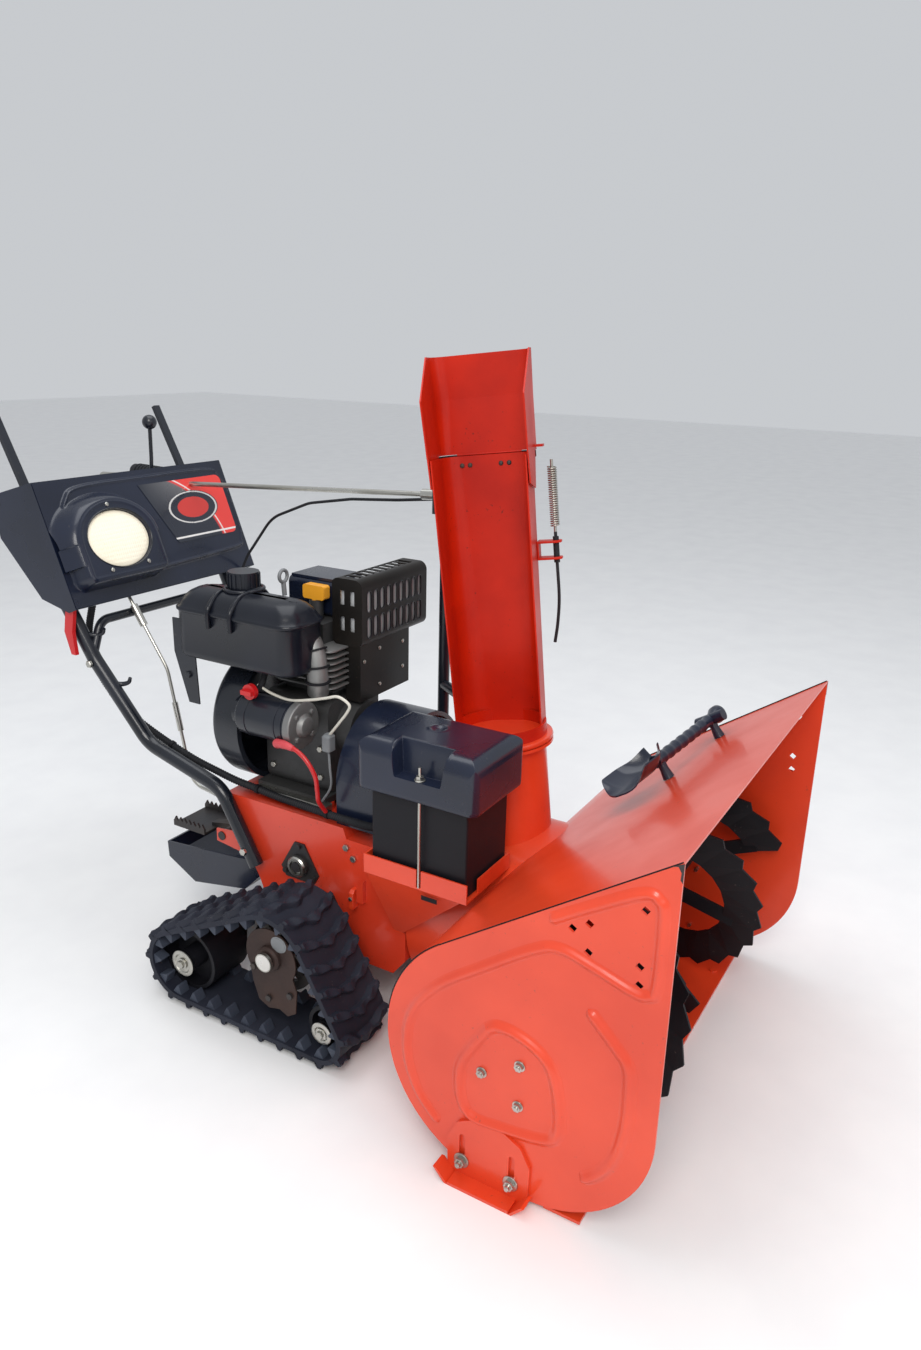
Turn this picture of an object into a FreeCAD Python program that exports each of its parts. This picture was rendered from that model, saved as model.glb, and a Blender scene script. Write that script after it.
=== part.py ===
import FreeCAD, Part
import math
import os

# Tracked two-stage snow blower with a discharge chute.  Millimetres, +Z up, ground at z = 0.
# X runs across the machine (-X is the operator's right hand side), the auger housing faces -Y.
# Parts are drawn about a shop datum and moved by -MIDDLE_Y when they are written, so that the
# origin lies under the middle of the whole machine.
MIDDLE_Y = 118.8

V = FreeCAD.Vector

# ---------------------------------------------------------------- driving dimensions
# auger housing
HOUSING_HALF = 406.0        # half of the clearing width
PLATE = 4.0                 # side plate thickness
SHEET = 3.0                 # drum sheet thickness
AUGER_Y = -480.0
AUGER_Z = 213.0
DRUM_R = 206.0
MOUTH_Y = -700.0
TOP_Z = 616.0
NOSE_Y = -512.0             # centre of the rounded lower front corner
NOSE_R = 188.0
LIP_Y = -560.0              # front end of the drum sheet at the bottom
# impeller drum, neck and chute
FAN_R = 167.0
FAN_FRONT_Y = -380.0
FAN_BACK_Y = -150.0
NECK_R = 75.0
RING_Y = -237.0
RING_Z = 534.0
CHUTE_LEAN = 7.0            # the chute axis leans back by this many degrees
CHUTE_AIM = 72.0            # discharge direction, degrees from forward towards -X
CHUTE_BODY = 486.0
HOOD_LENGTH = 165.0
CHUTE_HALF = 76.0           # half of the channel's width at the foot
CHUTE_TOP_HALF = 80.0
CHUTE_GAUGE = 2.5
# augers
RAKE_R = 188.0              # ribbon edge; the teeth stand RAKE_TOOTH proud of it
RAKE_TOOTH = 11.5
RAKE_IN = 128.0
RAKE_START = 62.0
RAKE_END = 388.0
SHAFT_R = 14.0
# main frame
FRAME_HALF = 167.0
DECK_Z = 366.0
FRAME_BOTTOM = 104.0
FRONT_DECK_Z = 346.0        # the deck steps down under the battery
FRAME_FRONT = -147.0
FRAME_REAR = 265.0
# tracks
TRACK_OUT = 345.0
TRACK_IN = 215.0
CARCASS = 9.0
LUG = 14.0
WHEEL_GAP = 0.6
APEX = (22.0, 179.0, 86.0)       # y, z, outer radius of the carcass round the sprocket
REAR = (240.0, 86.0, 72.0)
FRONT = (-84.0, 65.0, 51.0)
AXLE_R = 12.0
# engine
CRANK_X = -40.0
CRANK_Z = 508.0
BELT_PLANE = -60.0
# battery
BATTERY = (-240.0, -108.0, -309.0, -128.0, 356.0, 530.0)
# handlebar and dash
TUBE_R = 14.0
DASH_HALF = 247.0
DASH_TOP = (637.0, 928.0)
DASH_FOOT = (545.0, 699.0)


# ---------------------------------------------------------------- helpers
def box(x0, x1, y0, y1, z0, z1):
    """A rectangular block between two corners."""
    return Part.makeBox(x1 - x0, y1 - y0, z1 - z0, V(x0, y0, z0))


def rod(start, end, radius):
    """A round bar between two points."""
    start = V(*start)
    end = V(*end)
    return Part.makeCylinder(radius, (end - start).Length, start, end - start)


def cone(start, end, r0, r1):
    """A tapered round bar between two points."""
    start = V(*start)
    end = V(*end)
    return Part.makeCone(r0, r1, (end - start).Length, start, end - start)


def pipe(start, end, radius, bore):
    """A straight tube between two points."""
    return rod(start, end, radius).cut(rod(start, end, bore))


def prism(points, direction):
    """A flat polygon pushed along a vector."""
    corners = [V(*p) for p in points]
    wire = Part.makePolygon(corners + [corners[0]])
    return Part.Face(wire).extrude(V(*direction))


def side_prism(outline, x0, x1):
    """An outline of (y, z) corners pushed from x0 to x1."""
    return prism([(x0, y, z) for y, z in outline], (x1 - x0, 0, 0))


def fuse(pieces):
    """One solid out of overlapping pieces."""
    pieces = list(pieces)
    if len(pieces) == 1:
        return pieces[0]
    return pieces[0].multiFuse(pieces[1:]).removeSplitter()


def cut(solid, tools):
    """A solid with every tool removed."""
    for tool in tools:
        solid = solid.cut(tool)
    return solid


def rounded(solid, radius, keep):
    """A solid whose edges chosen by keep(edge) are rounded."""
    edges = [e for e in solid.Edges if keep(e)]
    return solid.makeFillet(radius, edges)


def along(axis):
    """A test for straight edges that run along one axis."""
    def test(edge):
        if len(edge.Vertexes) < 2:
            return False
        way = edge.Vertexes[1].Point - edge.Vertexes[0].Point
        return way.Length > 1e-6 and abs(way.normalize().dot(axis)) > 0.999
    return test


def mirrored(shape):
    """The same piece on the other side of the machine."""
    return shape.mirror(V(0, 0, 0), V(1, 0, 0))


def bent_bar(points, radii, radius):
    """A round bar along straight runs joined by tangent arcs, one radius for each inner corner."""
    corners = [V(*p) for p in points]
    edges = []
    start = corners[0]
    for before, corner, after, bend in zip(corners, corners[1:], corners[2:], radii):
        back = (before - corner).normalize()
        ahead = (after - corner).normalize()
        half = back.getAngle(ahead) / 2
        reach = bend / math.tan(half)
        inward = (back + ahead).normalize()
        centre = corner + inward * (bend / math.sin(half))
        first = corner + back * reach
        last = corner + ahead * reach
        edges.append(Part.LineSegment(start, first).toShape())
        edges.append(Part.Arc(first, centre - inward * bend, last).toShape())
        start = last
    edges.append(Part.LineSegment(start, corners[-1]).toShape())
    path = Part.Wire(edges)
    profile = Part.Wire(Part.makeCircle(radius, corners[0], corners[1] - corners[0]))
    return path.makePipeShell([profile], True, False)


def hex_bolt(head, way, radius, length):
    """A hexagon head with a shank; way points from the head into the work."""
    way = V(*way).normalize()
    head = V(*head)
    side = way.cross(V(0.31, 0.9, 0.42)).normalize()
    up = way.cross(side)
    ring = []
    for k in range(6):
        a = math.radians(60 * k)
        ring.append(head + side * (1.75 * radius * math.cos(a)) + up * (1.75 * radius * math.sin(a)))
    block = prism([tuple(p) for p in ring], tuple(way * (-1.1 * radius)))
    return block.fuse(Part.makeCylinder(radius, length, head, way))


def loop_outline(circles, offset):
    """Arcs and lines of a belt that is tight round circles (y, z, r), taken in turn."""
    count = len(circles)
    normals = []
    for k in range(count):
        y0, z0, r0 = circles[k]
        y1, z1, r1 = circles[(k + 1) % count]
        run = math.hypot(y1 - y0, z1 - z0)
        normals.append(math.atan2(z1 - z0, y1 - y0) - math.acos((r0 - r1) / run))
    spans = []
    for k in range(count):
        y, z, r = circles[k]
        a0 = normals[k - 1]
        a1 = normals[k]
        while a1 < a0:
            a1 += 2 * math.pi
        spans.append((y, z, r + offset, a0, a1))
    return spans


def loop_face(circles, offset, x):
    """The flat face inside such a belt line, in the plane at x."""
    spans = loop_outline(circles, offset)
    edges = []
    for k, (y, z, r, a0, a1) in enumerate(spans):
        points = [V(x, y + r * math.cos(a), z + r * math.sin(a)) for a in (a0, (a0 + a1) / 2, a1)]
        edges.append(Part.Arc(*points).toShape())
        yn, zn, rn, b0, _ = spans[(k + 1) % len(spans)]
        nxt = V(x, yn + rn * math.cos(b0), zn + rn * math.sin(b0))
        edges.append(Part.LineSegment(points[2], nxt).toShape())
    return Part.Face(Part.Wire(edges))


def loop_stations(circles, offset, count):
    """Evenly spaced (y, z, normal angle) stations along such a belt line."""
    spans = loop_outline(circles, offset)
    legs = []
    for k, (y, z, r, a0, a1) in enumerate(spans):
        legs.append(("arc", r * (a1 - a0), (y, z, r, a0, a1)))
        yn, zn, rn, b0, _ = spans[(k + 1) % len(spans)]
        p = (y + r * math.cos(a1), z + r * math.sin(a1))
        q = (yn + rn * math.cos(b0), zn + rn * math.sin(b0))
        legs.append(("line", math.hypot(q[0] - p[0], q[1] - p[1]), (p, q, a1)))
    total = sum(leg[1] for leg in legs)
    stations = []
    for k in range(count):
        left = total * (k + 0.5) / count
        for kind, length, data in legs:
            if left <= length:
                break
            left -= length
        share = left / length
        if kind == "arc":
            y, z, r, a0, a1 = data
            a = a0 + (a1 - a0) * share
            stations.append((y + r * math.cos(a), z + r * math.sin(a), a))
        else:
            p, q, a = data
            stations.append((p[0] + (q[0] - p[0]) * share, p[1] + (q[1] - p[1]) * share, a))
    return stations


def at_station(station, along_belt, outward):
    """A (y, z) point given in a belt station's own directions."""
    y, z, a = station
    return (y + outward * math.cos(a) - along_belt * math.sin(a),
            z + outward * math.sin(a) + along_belt * math.cos(a))


# ---------------------------------------------------------------- auger housing
def tangent_point(radius):
    """Where the sloping top of the housing meets the round back, for a drum of this radius."""
    dy = MOUTH_Y - AUGER_Y
    dz = TOP_Z - AUGER_Z
    reach = math.hypot(dy, dz)
    angle = math.atan2(dz, dy) - math.acos(radius / reach)
    return AUGER_Y + radius * math.cos(angle), AUGER_Z + radius * math.sin(angle), angle


def housing_profile(x):
    """The side plate's outline as a face."""
    ty, tz, angle = tangent_point(DRUM_R)
    middle = (angle - math.pi / 2) / 2
    corner_low = (NOSE_Y - NOSE_R, AUGER_Z - 12)
    turn = math.radians(225)
    edges = [
        Part.LineSegment(V(x, MOUTH_Y, TOP_Z), V(x, ty, tz)).toShape(),
        Part.Arc(V(x, ty, tz),
                 V(x, AUGER_Y + DRUM_R * math.cos(middle), AUGER_Z + DRUM_R * math.sin(middle)),
                 V(x, AUGER_Y, AUGER_Z - DRUM_R)).toShape(),
    ]
    nose_z = AUGER_Z - DRUM_R + NOSE_R
    edges += [
        Part.LineSegment(V(x, AUGER_Y, AUGER_Z - DRUM_R), V(x, NOSE_Y, AUGER_Z - DRUM_R)).toShape(),
        Part.Arc(V(x, NOSE_Y, AUGER_Z - DRUM_R),
                 V(x, NOSE_Y + NOSE_R * math.cos(turn), nose_z + NOSE_R * math.sin(turn)),
                 V(x, corner_low[0], nose_z)).toShape(),
        Part.LineSegment(V(x, corner_low[0], nose_z), V(x, MOUTH_Y, TOP_Z)).toShape(),
    ]
    return Part.Face(Part.Wire(edges))


def chute_axis():
    """The unit vector of the leaning chute axis."""
    lean = math.radians(CHUTE_LEAN)
    return V(0, math.sin(lean), math.cos(lean))


def ring_point(height):
    """A point on the chute axis this far above the ring."""
    return V(0, RING_Y, RING_Z) + chute_axis() * height


def housing_inside():
    """The space in the housing, open to the front."""
    inner = DRUM_R - SHEET
    ty, tz, angle = tangent_point(DRUM_R)
    ny, nz = math.cos(angle), math.sin(angle)
    iy, iz = ty - SHEET * ny, tz - SHEET * nz
    slope = (TOP_Z - tz) / (MOUTH_Y - ty)
    front = MOUTH_Y - 60
    wedge = side_prism([(iy, iz), (front, iz + slope * (front - iy)), (front, -20), (LIP_Y, -20),
                        (LIP_Y, AUGER_Z - inner), (AUGER_Y, AUGER_Z - inner), (AUGER_Y, AUGER_Z)],
                       PLATE - HOUSING_HALF, HOUSING_HALF - PLATE)
    drum = rod((PLATE - HOUSING_HALF, AUGER_Y, AUGER_Z), (HOUSING_HALF - PLATE, AUGER_Y, AUGER_Z), inner)
    return drum.fuse(wedge)


def auger_housing():
    """Welded housing: two side plates, drum sheet, impeller drum and outlet neck with its flange."""
    body = housing_profile(-HOUSING_HALF).extrude(V(2 * HOUSING_HALF, 0, 0))
    fan = rod((0, FAN_FRONT_Y, AUGER_Z), (0, FAN_BACK_Y, AUGER_Z), FAN_R + SHEET)
    neck = Part.makeCylinder(NECK_R + SHEET, 240, ring_point(-240), chute_axis())
    flange = Part.makeCylinder(NECK_R + 16, 5, ring_point(-5), chute_axis())
    body = body.fuse(fan).fuse(neck).fuse(flange)
    inside = housing_inside()
    fan_inside = rod((0, AUGER_Y, AUGER_Z), (0, FAN_BACK_Y - SHEET, AUGER_Z), FAN_R)
    neck_inside = Part.makeCylinder(NECK_R, 260, ring_point(-250), chute_axis())
    body = cut(body, [inside, fan_inside, neck_inside])
    boss = rod((0, FAN_BACK_Y - 26, AUGER_Z), (0, FAN_BACK_Y, AUGER_Z), 30)
    body = body.fuse(boss)
    body = body.cut(rod((0, FAN_BACK_Y - 30, AUGER_Z), (0, FAN_BACK_Y + 5, AUGER_Z), SHAFT_R + 0.05))
    for side in (-1, 1):
        hub = rod((side * (HOUSING_HALF - PLATE), AUGER_Y, AUGER_Z),
                  (side * (HOUSING_HALF - 12), AUGER_Y, AUGER_Z), 34)
        body = body.fuse(hub)
        body = body.cut(rod((side * (HOUSING_HALF - PLATE), AUGER_Y, AUGER_Z),
                            (side * (HOUSING_HALF - 20), AUGER_Y, AUGER_Z), SHAFT_R + 0.05))
        for y, z in SQUARE_HOLES:
            hole = box(-4.6, 4.6, -4.6, 4.6, -4.6, 4.6)
            hole.rotate(V(0, 0, 0), V(1, 0, 0), 32)
            hole.translate(V(side * (HOUSING_HALF - PLATE / 2), y, z))
            body = body.cut(hole)
        for y, z in BEARING_BOLTS + SKID_BOLTS:
            body = body.cut(rod((side * (HOUSING_HALF - 20), y, z), (side * (HOUSING_HALF + 5), y, z), 4.05))
    return body


SQUARE_HOLES = [(-658, 537), (-586, 494), (-563, 480), (-587, 452), (-657, 456), (-658, 429)]
BEARING_BOLTS = [(-438, 198), (-498, 235), (-498, 166)]
SKID_BOLTS = [(-412, 30), (-495, 30)]


def housing_bolts():
    """Bearing bolts and skid shoe bolts of both side plates, each a separate solid."""
    bolts = []
    for side in (-1, 1):
        for y, z in BEARING_BOLTS:
            bolts.append(hex_bolt((side * (HOUSING_HALF + 0.02), y, z), (-side, 0, 0), 4, 15))
        for y, z in SKID_BOLTS:
            bolts.append(hex_bolt((side * (HOUSING_HALF + 6.2), y, z), (-side, 0, 0), 4, 16))
    return Part.makeCompound(bolts)


def scraper_blade():
    """Replaceable steel edge under the front of the drum sheet."""
    half = HOUSING_HALF - PLATE - 1
    blade = box(-half, half, LIP_Y - 42, LIP_Y + 16, AUGER_Z - DRUM_R - 5, AUGER_Z - DRUM_R)
    heads = [rod((x, LIP_Y - 20, AUGER_Z - DRUM_R), (x, LIP_Y - 20, AUGER_Z - DRUM_R + 3), 7)
             for x in (-300, -100, 100, 300)]
    return fuse([blade] + heads)


def skid_shoe():
    """Right skid shoe: slotted plate with a turned-out runner."""
    x0 = -(HOUSING_HALF + 5.4)
    x1 = -(HOUSING_HALF + 0.4)
    plate = side_prism([(-388, 0), (-386, 62), (-402, 96), (-430, 112), (-480, 112), (-508, 98),
                        (-524, 68), (-522, 0)], x0, x1)
    plate = rounded(plate, 12, lambda e: along(V(1, 0, 0))(e) and e.CenterOfMass.z > 50)
    runner = box(x0 - 26, x0 + 1, -505, -402, 0, 5)
    ends = [prism([(x0 - 26, y, 0), (x0 + 1, y, 0), (x0 + 1, y + s * 20, 22), (x0 - 26, y + s * 20, 22)],
                  (0, s * 5, 0)) for y, s in ((-505, -1), (-402, 1))]
    shoe = fuse([plate, runner] + ends)
    for y, z in SKID_BOLTS:
        slot = box(x0 - 1, x1 + 1, y - 5, y + 5, z, z + 42)
        slot = slot.fuse(rod((x0 - 1, y, z), (x1 + 1, y, z), 5))
        slot = slot.fuse(rod((x0 - 1, y, z + 42), (x1 + 1, y, z + 42), 5))
        shoe = shoe.cut(slot)
    return shoe


# ---------------------------------------------------------------- augers and impeller
def polar(x, angle, radius):
    """A point on the auger at an angle in degrees round the shaft."""
    a = math.radians(angle)
    return (x, AUGER_Y + radius * math.cos(a), AUGER_Z + radius * math.sin(a))


def rake_ribbon(start, turn, steps):
    """One toothed ribbon as a chain of flat facets, each with a tooth on its outer edge."""
    length = RAKE_END - RAKE_START - 26
    facets = []
    for k in range(steps):
        a0 = start + turn * k / steps
        a1 = start + turn * (k + 1) / steps
        x0 = -(RAKE_START + 8 + length * k / steps)
        x1 = -(RAKE_START + 8 + length * (k + 1) / steps)
        low0, top0 = polar(x0, a0, RAKE_IN), polar(x0, a0, RAKE_R)
        low1, top1 = polar(x1, a1, RAKE_IN), polar(x1, a1, RAKE_R)
        tip = polar(x0 * 0.3 + x1 * 0.7, a0 * 0.3 + a1 * 0.7, RAKE_R + RAKE_TOOTH)
        for corners in ((low0, top0, top1), (low0, top1, low1), (top0, tip, top1)):
            facets.append(prism(corners, (-5, 0, 0)))
    return facets


def auger_rake():
    """Right rake: tube, two toothed ribbons and their arms."""
    hub = pipe((-RAKE_START, AUGER_Y, AUGER_Z), (-RAKE_END, AUGER_Y, AUGER_Z), 22, SHAFT_R + 0.05)
    turn = 300.0
    length = RAKE_END - RAKE_START - 26
    pieces = [hub]
    for start in (43, 223):
        pieces += rake_ribbon(start, turn, 20)
        for share in (0.02, 0.5, 0.98):
            x = -(RAKE_START + 8 + length * share) - 2.5
            arm = box(x - 3, x + 3, 18, RAKE_IN + 20, -14, 14)
            arm.rotate(V(0, 0, 0), V(1, 0, 0), start + turn * share)
            arm.translate(V(0, AUGER_Y, AUGER_Z))
            pieces.append(arm)
    return fuse(pieces)


WORM_WHEEL_R = 31.0


def auger_shaft():
    """Cross shaft that carries both rakes, with its toothed wheel inside the gear case."""
    half = HOUSING_HALF - 10
    shaft = rod((-half, AUGER_Y, AUGER_Z), (half, AUGER_Y, AUGER_Z), SHAFT_R)
    wheel = rod((-13, AUGER_Y, AUGER_Z), (13, AUGER_Y, AUGER_Z), WORM_WHEEL_R)
    teeth = []
    for k in range(20):
        tooth = box(-12, 12, WORM_WHEEL_R - 2, WORM_WHEEL_R + 3, -2, 2)
        tooth.rotate(V(0, 0, 0), V(1, 0, 0), 18 * k)
        tooth.translate(V(0, AUGER_Y, AUGER_Z))
        teeth.append(tooth)
    return fuse([shaft, wheel] + teeth)


def auger_gearbox():
    """Cast gear case between the rakes."""
    case = rod((-50, AUGER_Y, AUGER_Z), (50, AUGER_Y, AUGER_Z), 54)
    tail = cone((0, AUGER_Y + 30, AUGER_Z), (0, AUGER_Y + 118, AUGER_Z), 44, 26)
    case = case.fuse(tail)
    ribs = [rod((s * 50, AUGER_Y, AUGER_Z), (s * 58, AUGER_Y, AUGER_Z), 26) for s in (-1, 1)]
    case = fuse([case] + ribs)
    cavity = rod((-42, AUGER_Y, AUGER_Z), (42, AUGER_Y, AUGER_Z), 46)
    return cut(case, [cavity,
                      rod((-60, AUGER_Y, AUGER_Z), (60, AUGER_Y, AUGER_Z), SHAFT_R + 0.05),
                      rod((0, AUGER_Y + 30, AUGER_Z), (0, AUGER_Y + 125, AUGER_Z), 12.05)])


def impeller_shaft():
    """Shaft from the gear case to the pulley behind the impeller drum."""
    front = rod((0, AUGER_Y + 36, AUGER_Z), (0, FAN_FRONT_Y + 60, AUGER_Z), 12)
    back = rod((0, FAN_FRONT_Y + 60, AUGER_Z), (0, BELT_PLANE + 24, AUGER_Z), SHAFT_R)
    return front.fuse(back)


def impeller():
    """Fan with four paddles on a boss."""
    y0 = AUGER_Y + DRUM_R + 8
    y1 = FAN_BACK_Y - 30
    hub = rod((0, y0, AUGER_Z), (0, y1, AUGER_Z), 30)
    disc = rod((0, y1 - 6, AUGER_Z), (0, y1, AUGER_Z), 90)
    pieces = [hub, disc]
    for k in range(4):
        blade = box(-3, 3, y0, y1, 20, FAN_R - 4)
        heel = box(-3, 26, y0 + 10, y1, FAN_R - 18, FAN_R - 12)
        for piece in (blade, heel):
            piece.rotate(V(0, 0, 0), V(0, 1, 0), 45 + 90 * k)
            piece.translate(V(0, 0, AUGER_Z))
            pieces.append(piece)
    fan = fuse(pieces)
    return fan.cut(rod((0, y0 - 1, AUGER_Z), (0, y1 + 1, AUGER_Z), SHAFT_R))


# ---------------------------------------------------------------- chute
def chute_frame():
    """Width, throw and axis directions of the chute in its stored position."""
    axis = chute_axis()
    aim = math.radians(CHUTE_AIM)
    throw = V(-math.sin(aim), -math.cos(aim), 0)
    throw = (throw - axis * throw.dot(axis)).normalize()
    width = throw.cross(axis)
    return width, throw, axis


def chute_point(w, d, s):
    """A point given across the chute, along its throw and up its axis."""
    width, throw, axis = chute_frame()
    return ring_point(0) + width * w + throw * d + axis * s


def channel_wire(half, back, front, corner, s, lean=0.0):
    """A closed U outline (outer and inner wall) at a height up the chute."""
    gauge = CHUTE_GAUGE

    def bend(h, b, r):
        q = r * (1 - math.sqrt(0.5))
        return [(-h, front), (-h, b + r), (-h + q, b + q), (-h + r, b),
                (h - r, b), (h - q, b + q), (h, b + r), (h, front)]

    def point(p):
        return chute_point(p[0], p[1] + lean, s)
    outer = bend(half, back, corner)
    inner = bend(half - gauge, back + gauge, corner - gauge)
    edges = []
    for ring in (outer, inner):
        edges.append([Part.LineSegment(point(ring[0]), point(ring[1])).toShape(),
                      Part.Arc(point(ring[1]), point(ring[2]), point(ring[3])).toShape(),
                      Part.LineSegment(point(ring[3]), point(ring[4])).toShape(),
                      Part.Arc(point(ring[4]), point(ring[5]), point(ring[6])).toShape(),
                      Part.LineSegment(point(ring[6]), point(ring[7])).toShape()])
    ends = [Part.LineSegment(point(outer[0]), point(inner[0])).toShape(),
            Part.LineSegment(point(outer[7]), point(inner[7])).toShape()]
    return Part.Wire(Part.__sortEdges__(edges[0] + edges[1] + ends))


CHUTE_BACK = -74.0
CHUTE_FRONT = 18.0


def discharge_chute():
    """Rotating chute: turned foot ring and a U channel."""
    _, _, axis = chute_frame()
    foot = Part.makeCylinder(NECK_R + 13, 9, ring_point(0.6), axis)
    sleeve = Part.makeCylinder(NECK_R + 6, 30, ring_point(0.6), axis)
    foot = foot.fuse(sleeve).cut(Part.makeCylinder(NECK_R + 2, 40, ring_point(-1), axis))
    low = channel_wire(CHUTE_HALF, CHUTE_BACK, CHUTE_FRONT, 46, 4)
    high = channel_wire(CHUTE_TOP_HALF, CHUTE_BACK, CHUTE_FRONT + 4, 30, CHUTE_BODY)
    channel = Part.makeLoft([low, high], True, True)
    return foot.fuse(channel)


HINGE_D = CHUTE_BACK - 0.6
HINGE_S = CHUTE_BODY + 2.0
HOOD_TAB = [(-54, CHUTE_BODY + 8), (-36, CHUTE_BODY + 8), (-36, CHUTE_BODY + 12), (-54, CHUTE_BODY + 12)]


def chute_deflector():
    """Hinged hood on top of the chute, with side cheeks outside the channel."""
    half = CHUTE_TOP_HALF + 4.2
    rings = [channel_wire(half, CHUTE_BACK - 3.5, CHUTE_FRONT + 8, 18, CHUTE_BODY + 3),
             channel_wire(half + 1, CHUTE_BACK - 2, CHUTE_FRONT + 18, 24, CHUTE_BODY + 95),
             channel_wire(half + 3, CHUTE_BACK + 4, CHUTE_BACK + 44, 24, CHUTE_BODY + HOOD_LENGTH)]
    hood = Part.makeLoft(rings, True, True)
    tab = prism([tuple(chute_point(-half + 1, d, s)) for d, s in HOOD_TAB],
                tuple(chute_point(-half - 14, 0, 0) - chute_point(-half + 1, 0, 0)))
    cheeks = []
    for side in (-1, 1):
        w0 = side * (CHUTE_TOP_HALF + 1.7)
        w1 = side * (CHUTE_TOP_HALF + 4.2)
        corners = [(CHUTE_BACK + 26, CHUTE_BODY + 10), (CHUTE_FRONT + 8, CHUTE_BODY + 10),
                   (CHUTE_FRONT, CHUTE_BODY - 46), (CHUTE_BACK + 44, CHUTE_BODY - 58)]
        points = [tuple(chute_point(w0, d, s)) for d, s in corners]
        step = chute_point(w1, 0, 0) - chute_point(w0, 0, 0)
        cheeks.append(prism(points, tuple(step)))
    pin = rod(tuple(chute_point(-56, HINGE_D, HINGE_S)), tuple(chute_point(56, HINGE_D, HINGE_S)), 1.5)
    return fuse([hood, tab, pin] + cheeks)


def deflector_spring():
    """Two ears, the coil spring and the control cable's end beside the chute."""
    wall = -(CHUTE_TOP_HALF - 1.2)
    side = -(CHUTE_TOP_HALF + 30)
    across = tuple(chute_point(side - 8, 0, 0) - chute_point(wall, 0, 0))
    ears = []
    for low in (306, 334):
        corners = ((-56, low), (-34, low), (-34, low + 4), (-56, low + 4))
        ears.append(prism([tuple(chute_point(wall, d, s)) for d, s in corners], across))
    spring = rod(tuple(chute_point(side, -45, 356)), tuple(chute_point(side, -45, 466)), 6)
    sheath = rod(tuple(chute_point(side, -45, 296)), tuple(chute_point(side, -45, 358)), 5)
    cable = bent_bar([tuple(chute_point(side, -45, 298)), tuple(chute_point(side, -45, 240)),
                      tuple(chute_point(side + 12, -45, 160))], [160], 3)
    return fuse(ears + [spring, sheath, cable])


PEDESTAL = (112.0, -48.0)
PEDESTAL_TOP = 930.0


def chute_pedestal():
    """Post that carries the chute control gearbox and its drive arm to the ring."""
    x, y = PEDESTAL
    base = box(x - 22, x + 28, y - 22, y + 22, FRONT_DECK_Z + 0.1, FRONT_DECK_Z + 5)
    post = rod((x, y, FRONT_DECK_Z + 2), (x, y, PEDESTAL_TOP - 20), 11)
    head = box(x - 22, x + 22, y - 26, y + 18, PEDESTAL_TOP - 34, PEDESTAL_TOP + 20)
    arm_end = (52.0, -140.0)
    arm = rod((x, y, 566), (arm_end[0], arm_end[1], 566), 10)
    drop = rod((arm_end[0], arm_end[1], 550), (arm_end[0], arm_end[1], 580), 14)
    return fuse([base, post, head, arm, drop])


ROD_END = (138.0, 796.0, 878.0)


def chute_control_rod():
    """Grey rod from the pedestal head through the dash to its crank handle."""
    x, y = PEDESTAL
    start = V(x, y + 19, PEDESTAL_TOP - 2)
    end = V(*ROD_END)
    way = (end - start).normalize()
    shaft = Part.makeCylinder(5, (end - start).Length, start, way)
    joint = Part.makeCylinder(10, 34, start, way)
    elbow = Part.makeSphere(8, end)
    crank = rod(tuple(end), tuple(end + V(-40, 0, 12)), 5)
    knob = rod(tuple(end + V(-40, -4, 12)), tuple(end + V(-40, 50, 10)), 11)
    return fuse([shaft, joint, elbow, crank, knob])


def deflector_cable():
    """Thin control cable from the dash to a clip on the pedestal head."""
    x, _ = PEDESTAL
    points = [(196, 560, 652), (208, 528, 730), (218, 462, 820), (208, 350, 864), (182, 220, 888),
              (154, 90, 902), (x + 30, PEDESTAL[1] + 20, 917), (x + 30, PEDESTAL[1] - 16, 917)]
    cable = bent_bar(points, [90, 90, 120, 160, 200, 120, 40], 3)
    clip = box(x + 22.1, x + 36, PEDESTAL[1] - 16, PEDESTAL[1] - 4, 911, 927)
    return cable.fuse(clip)


# ---------------------------------------------------------------- main frame and drive
FRAME_SIDE = [(FRAME_FRONT, FRONT_DECK_Z), (-20, FRONT_DECK_Z), (-12, DECK_Z), (FRAME_REAR, DECK_Z),
              (FRAME_REAR + 6, 340), (190, 206), (150, FRAME_BOTTOM), (FRAME_FRONT + 26, FRAME_BOTTOM),
              (FRAME_FRONT, FRAME_BOTTOM + 34)]


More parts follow.
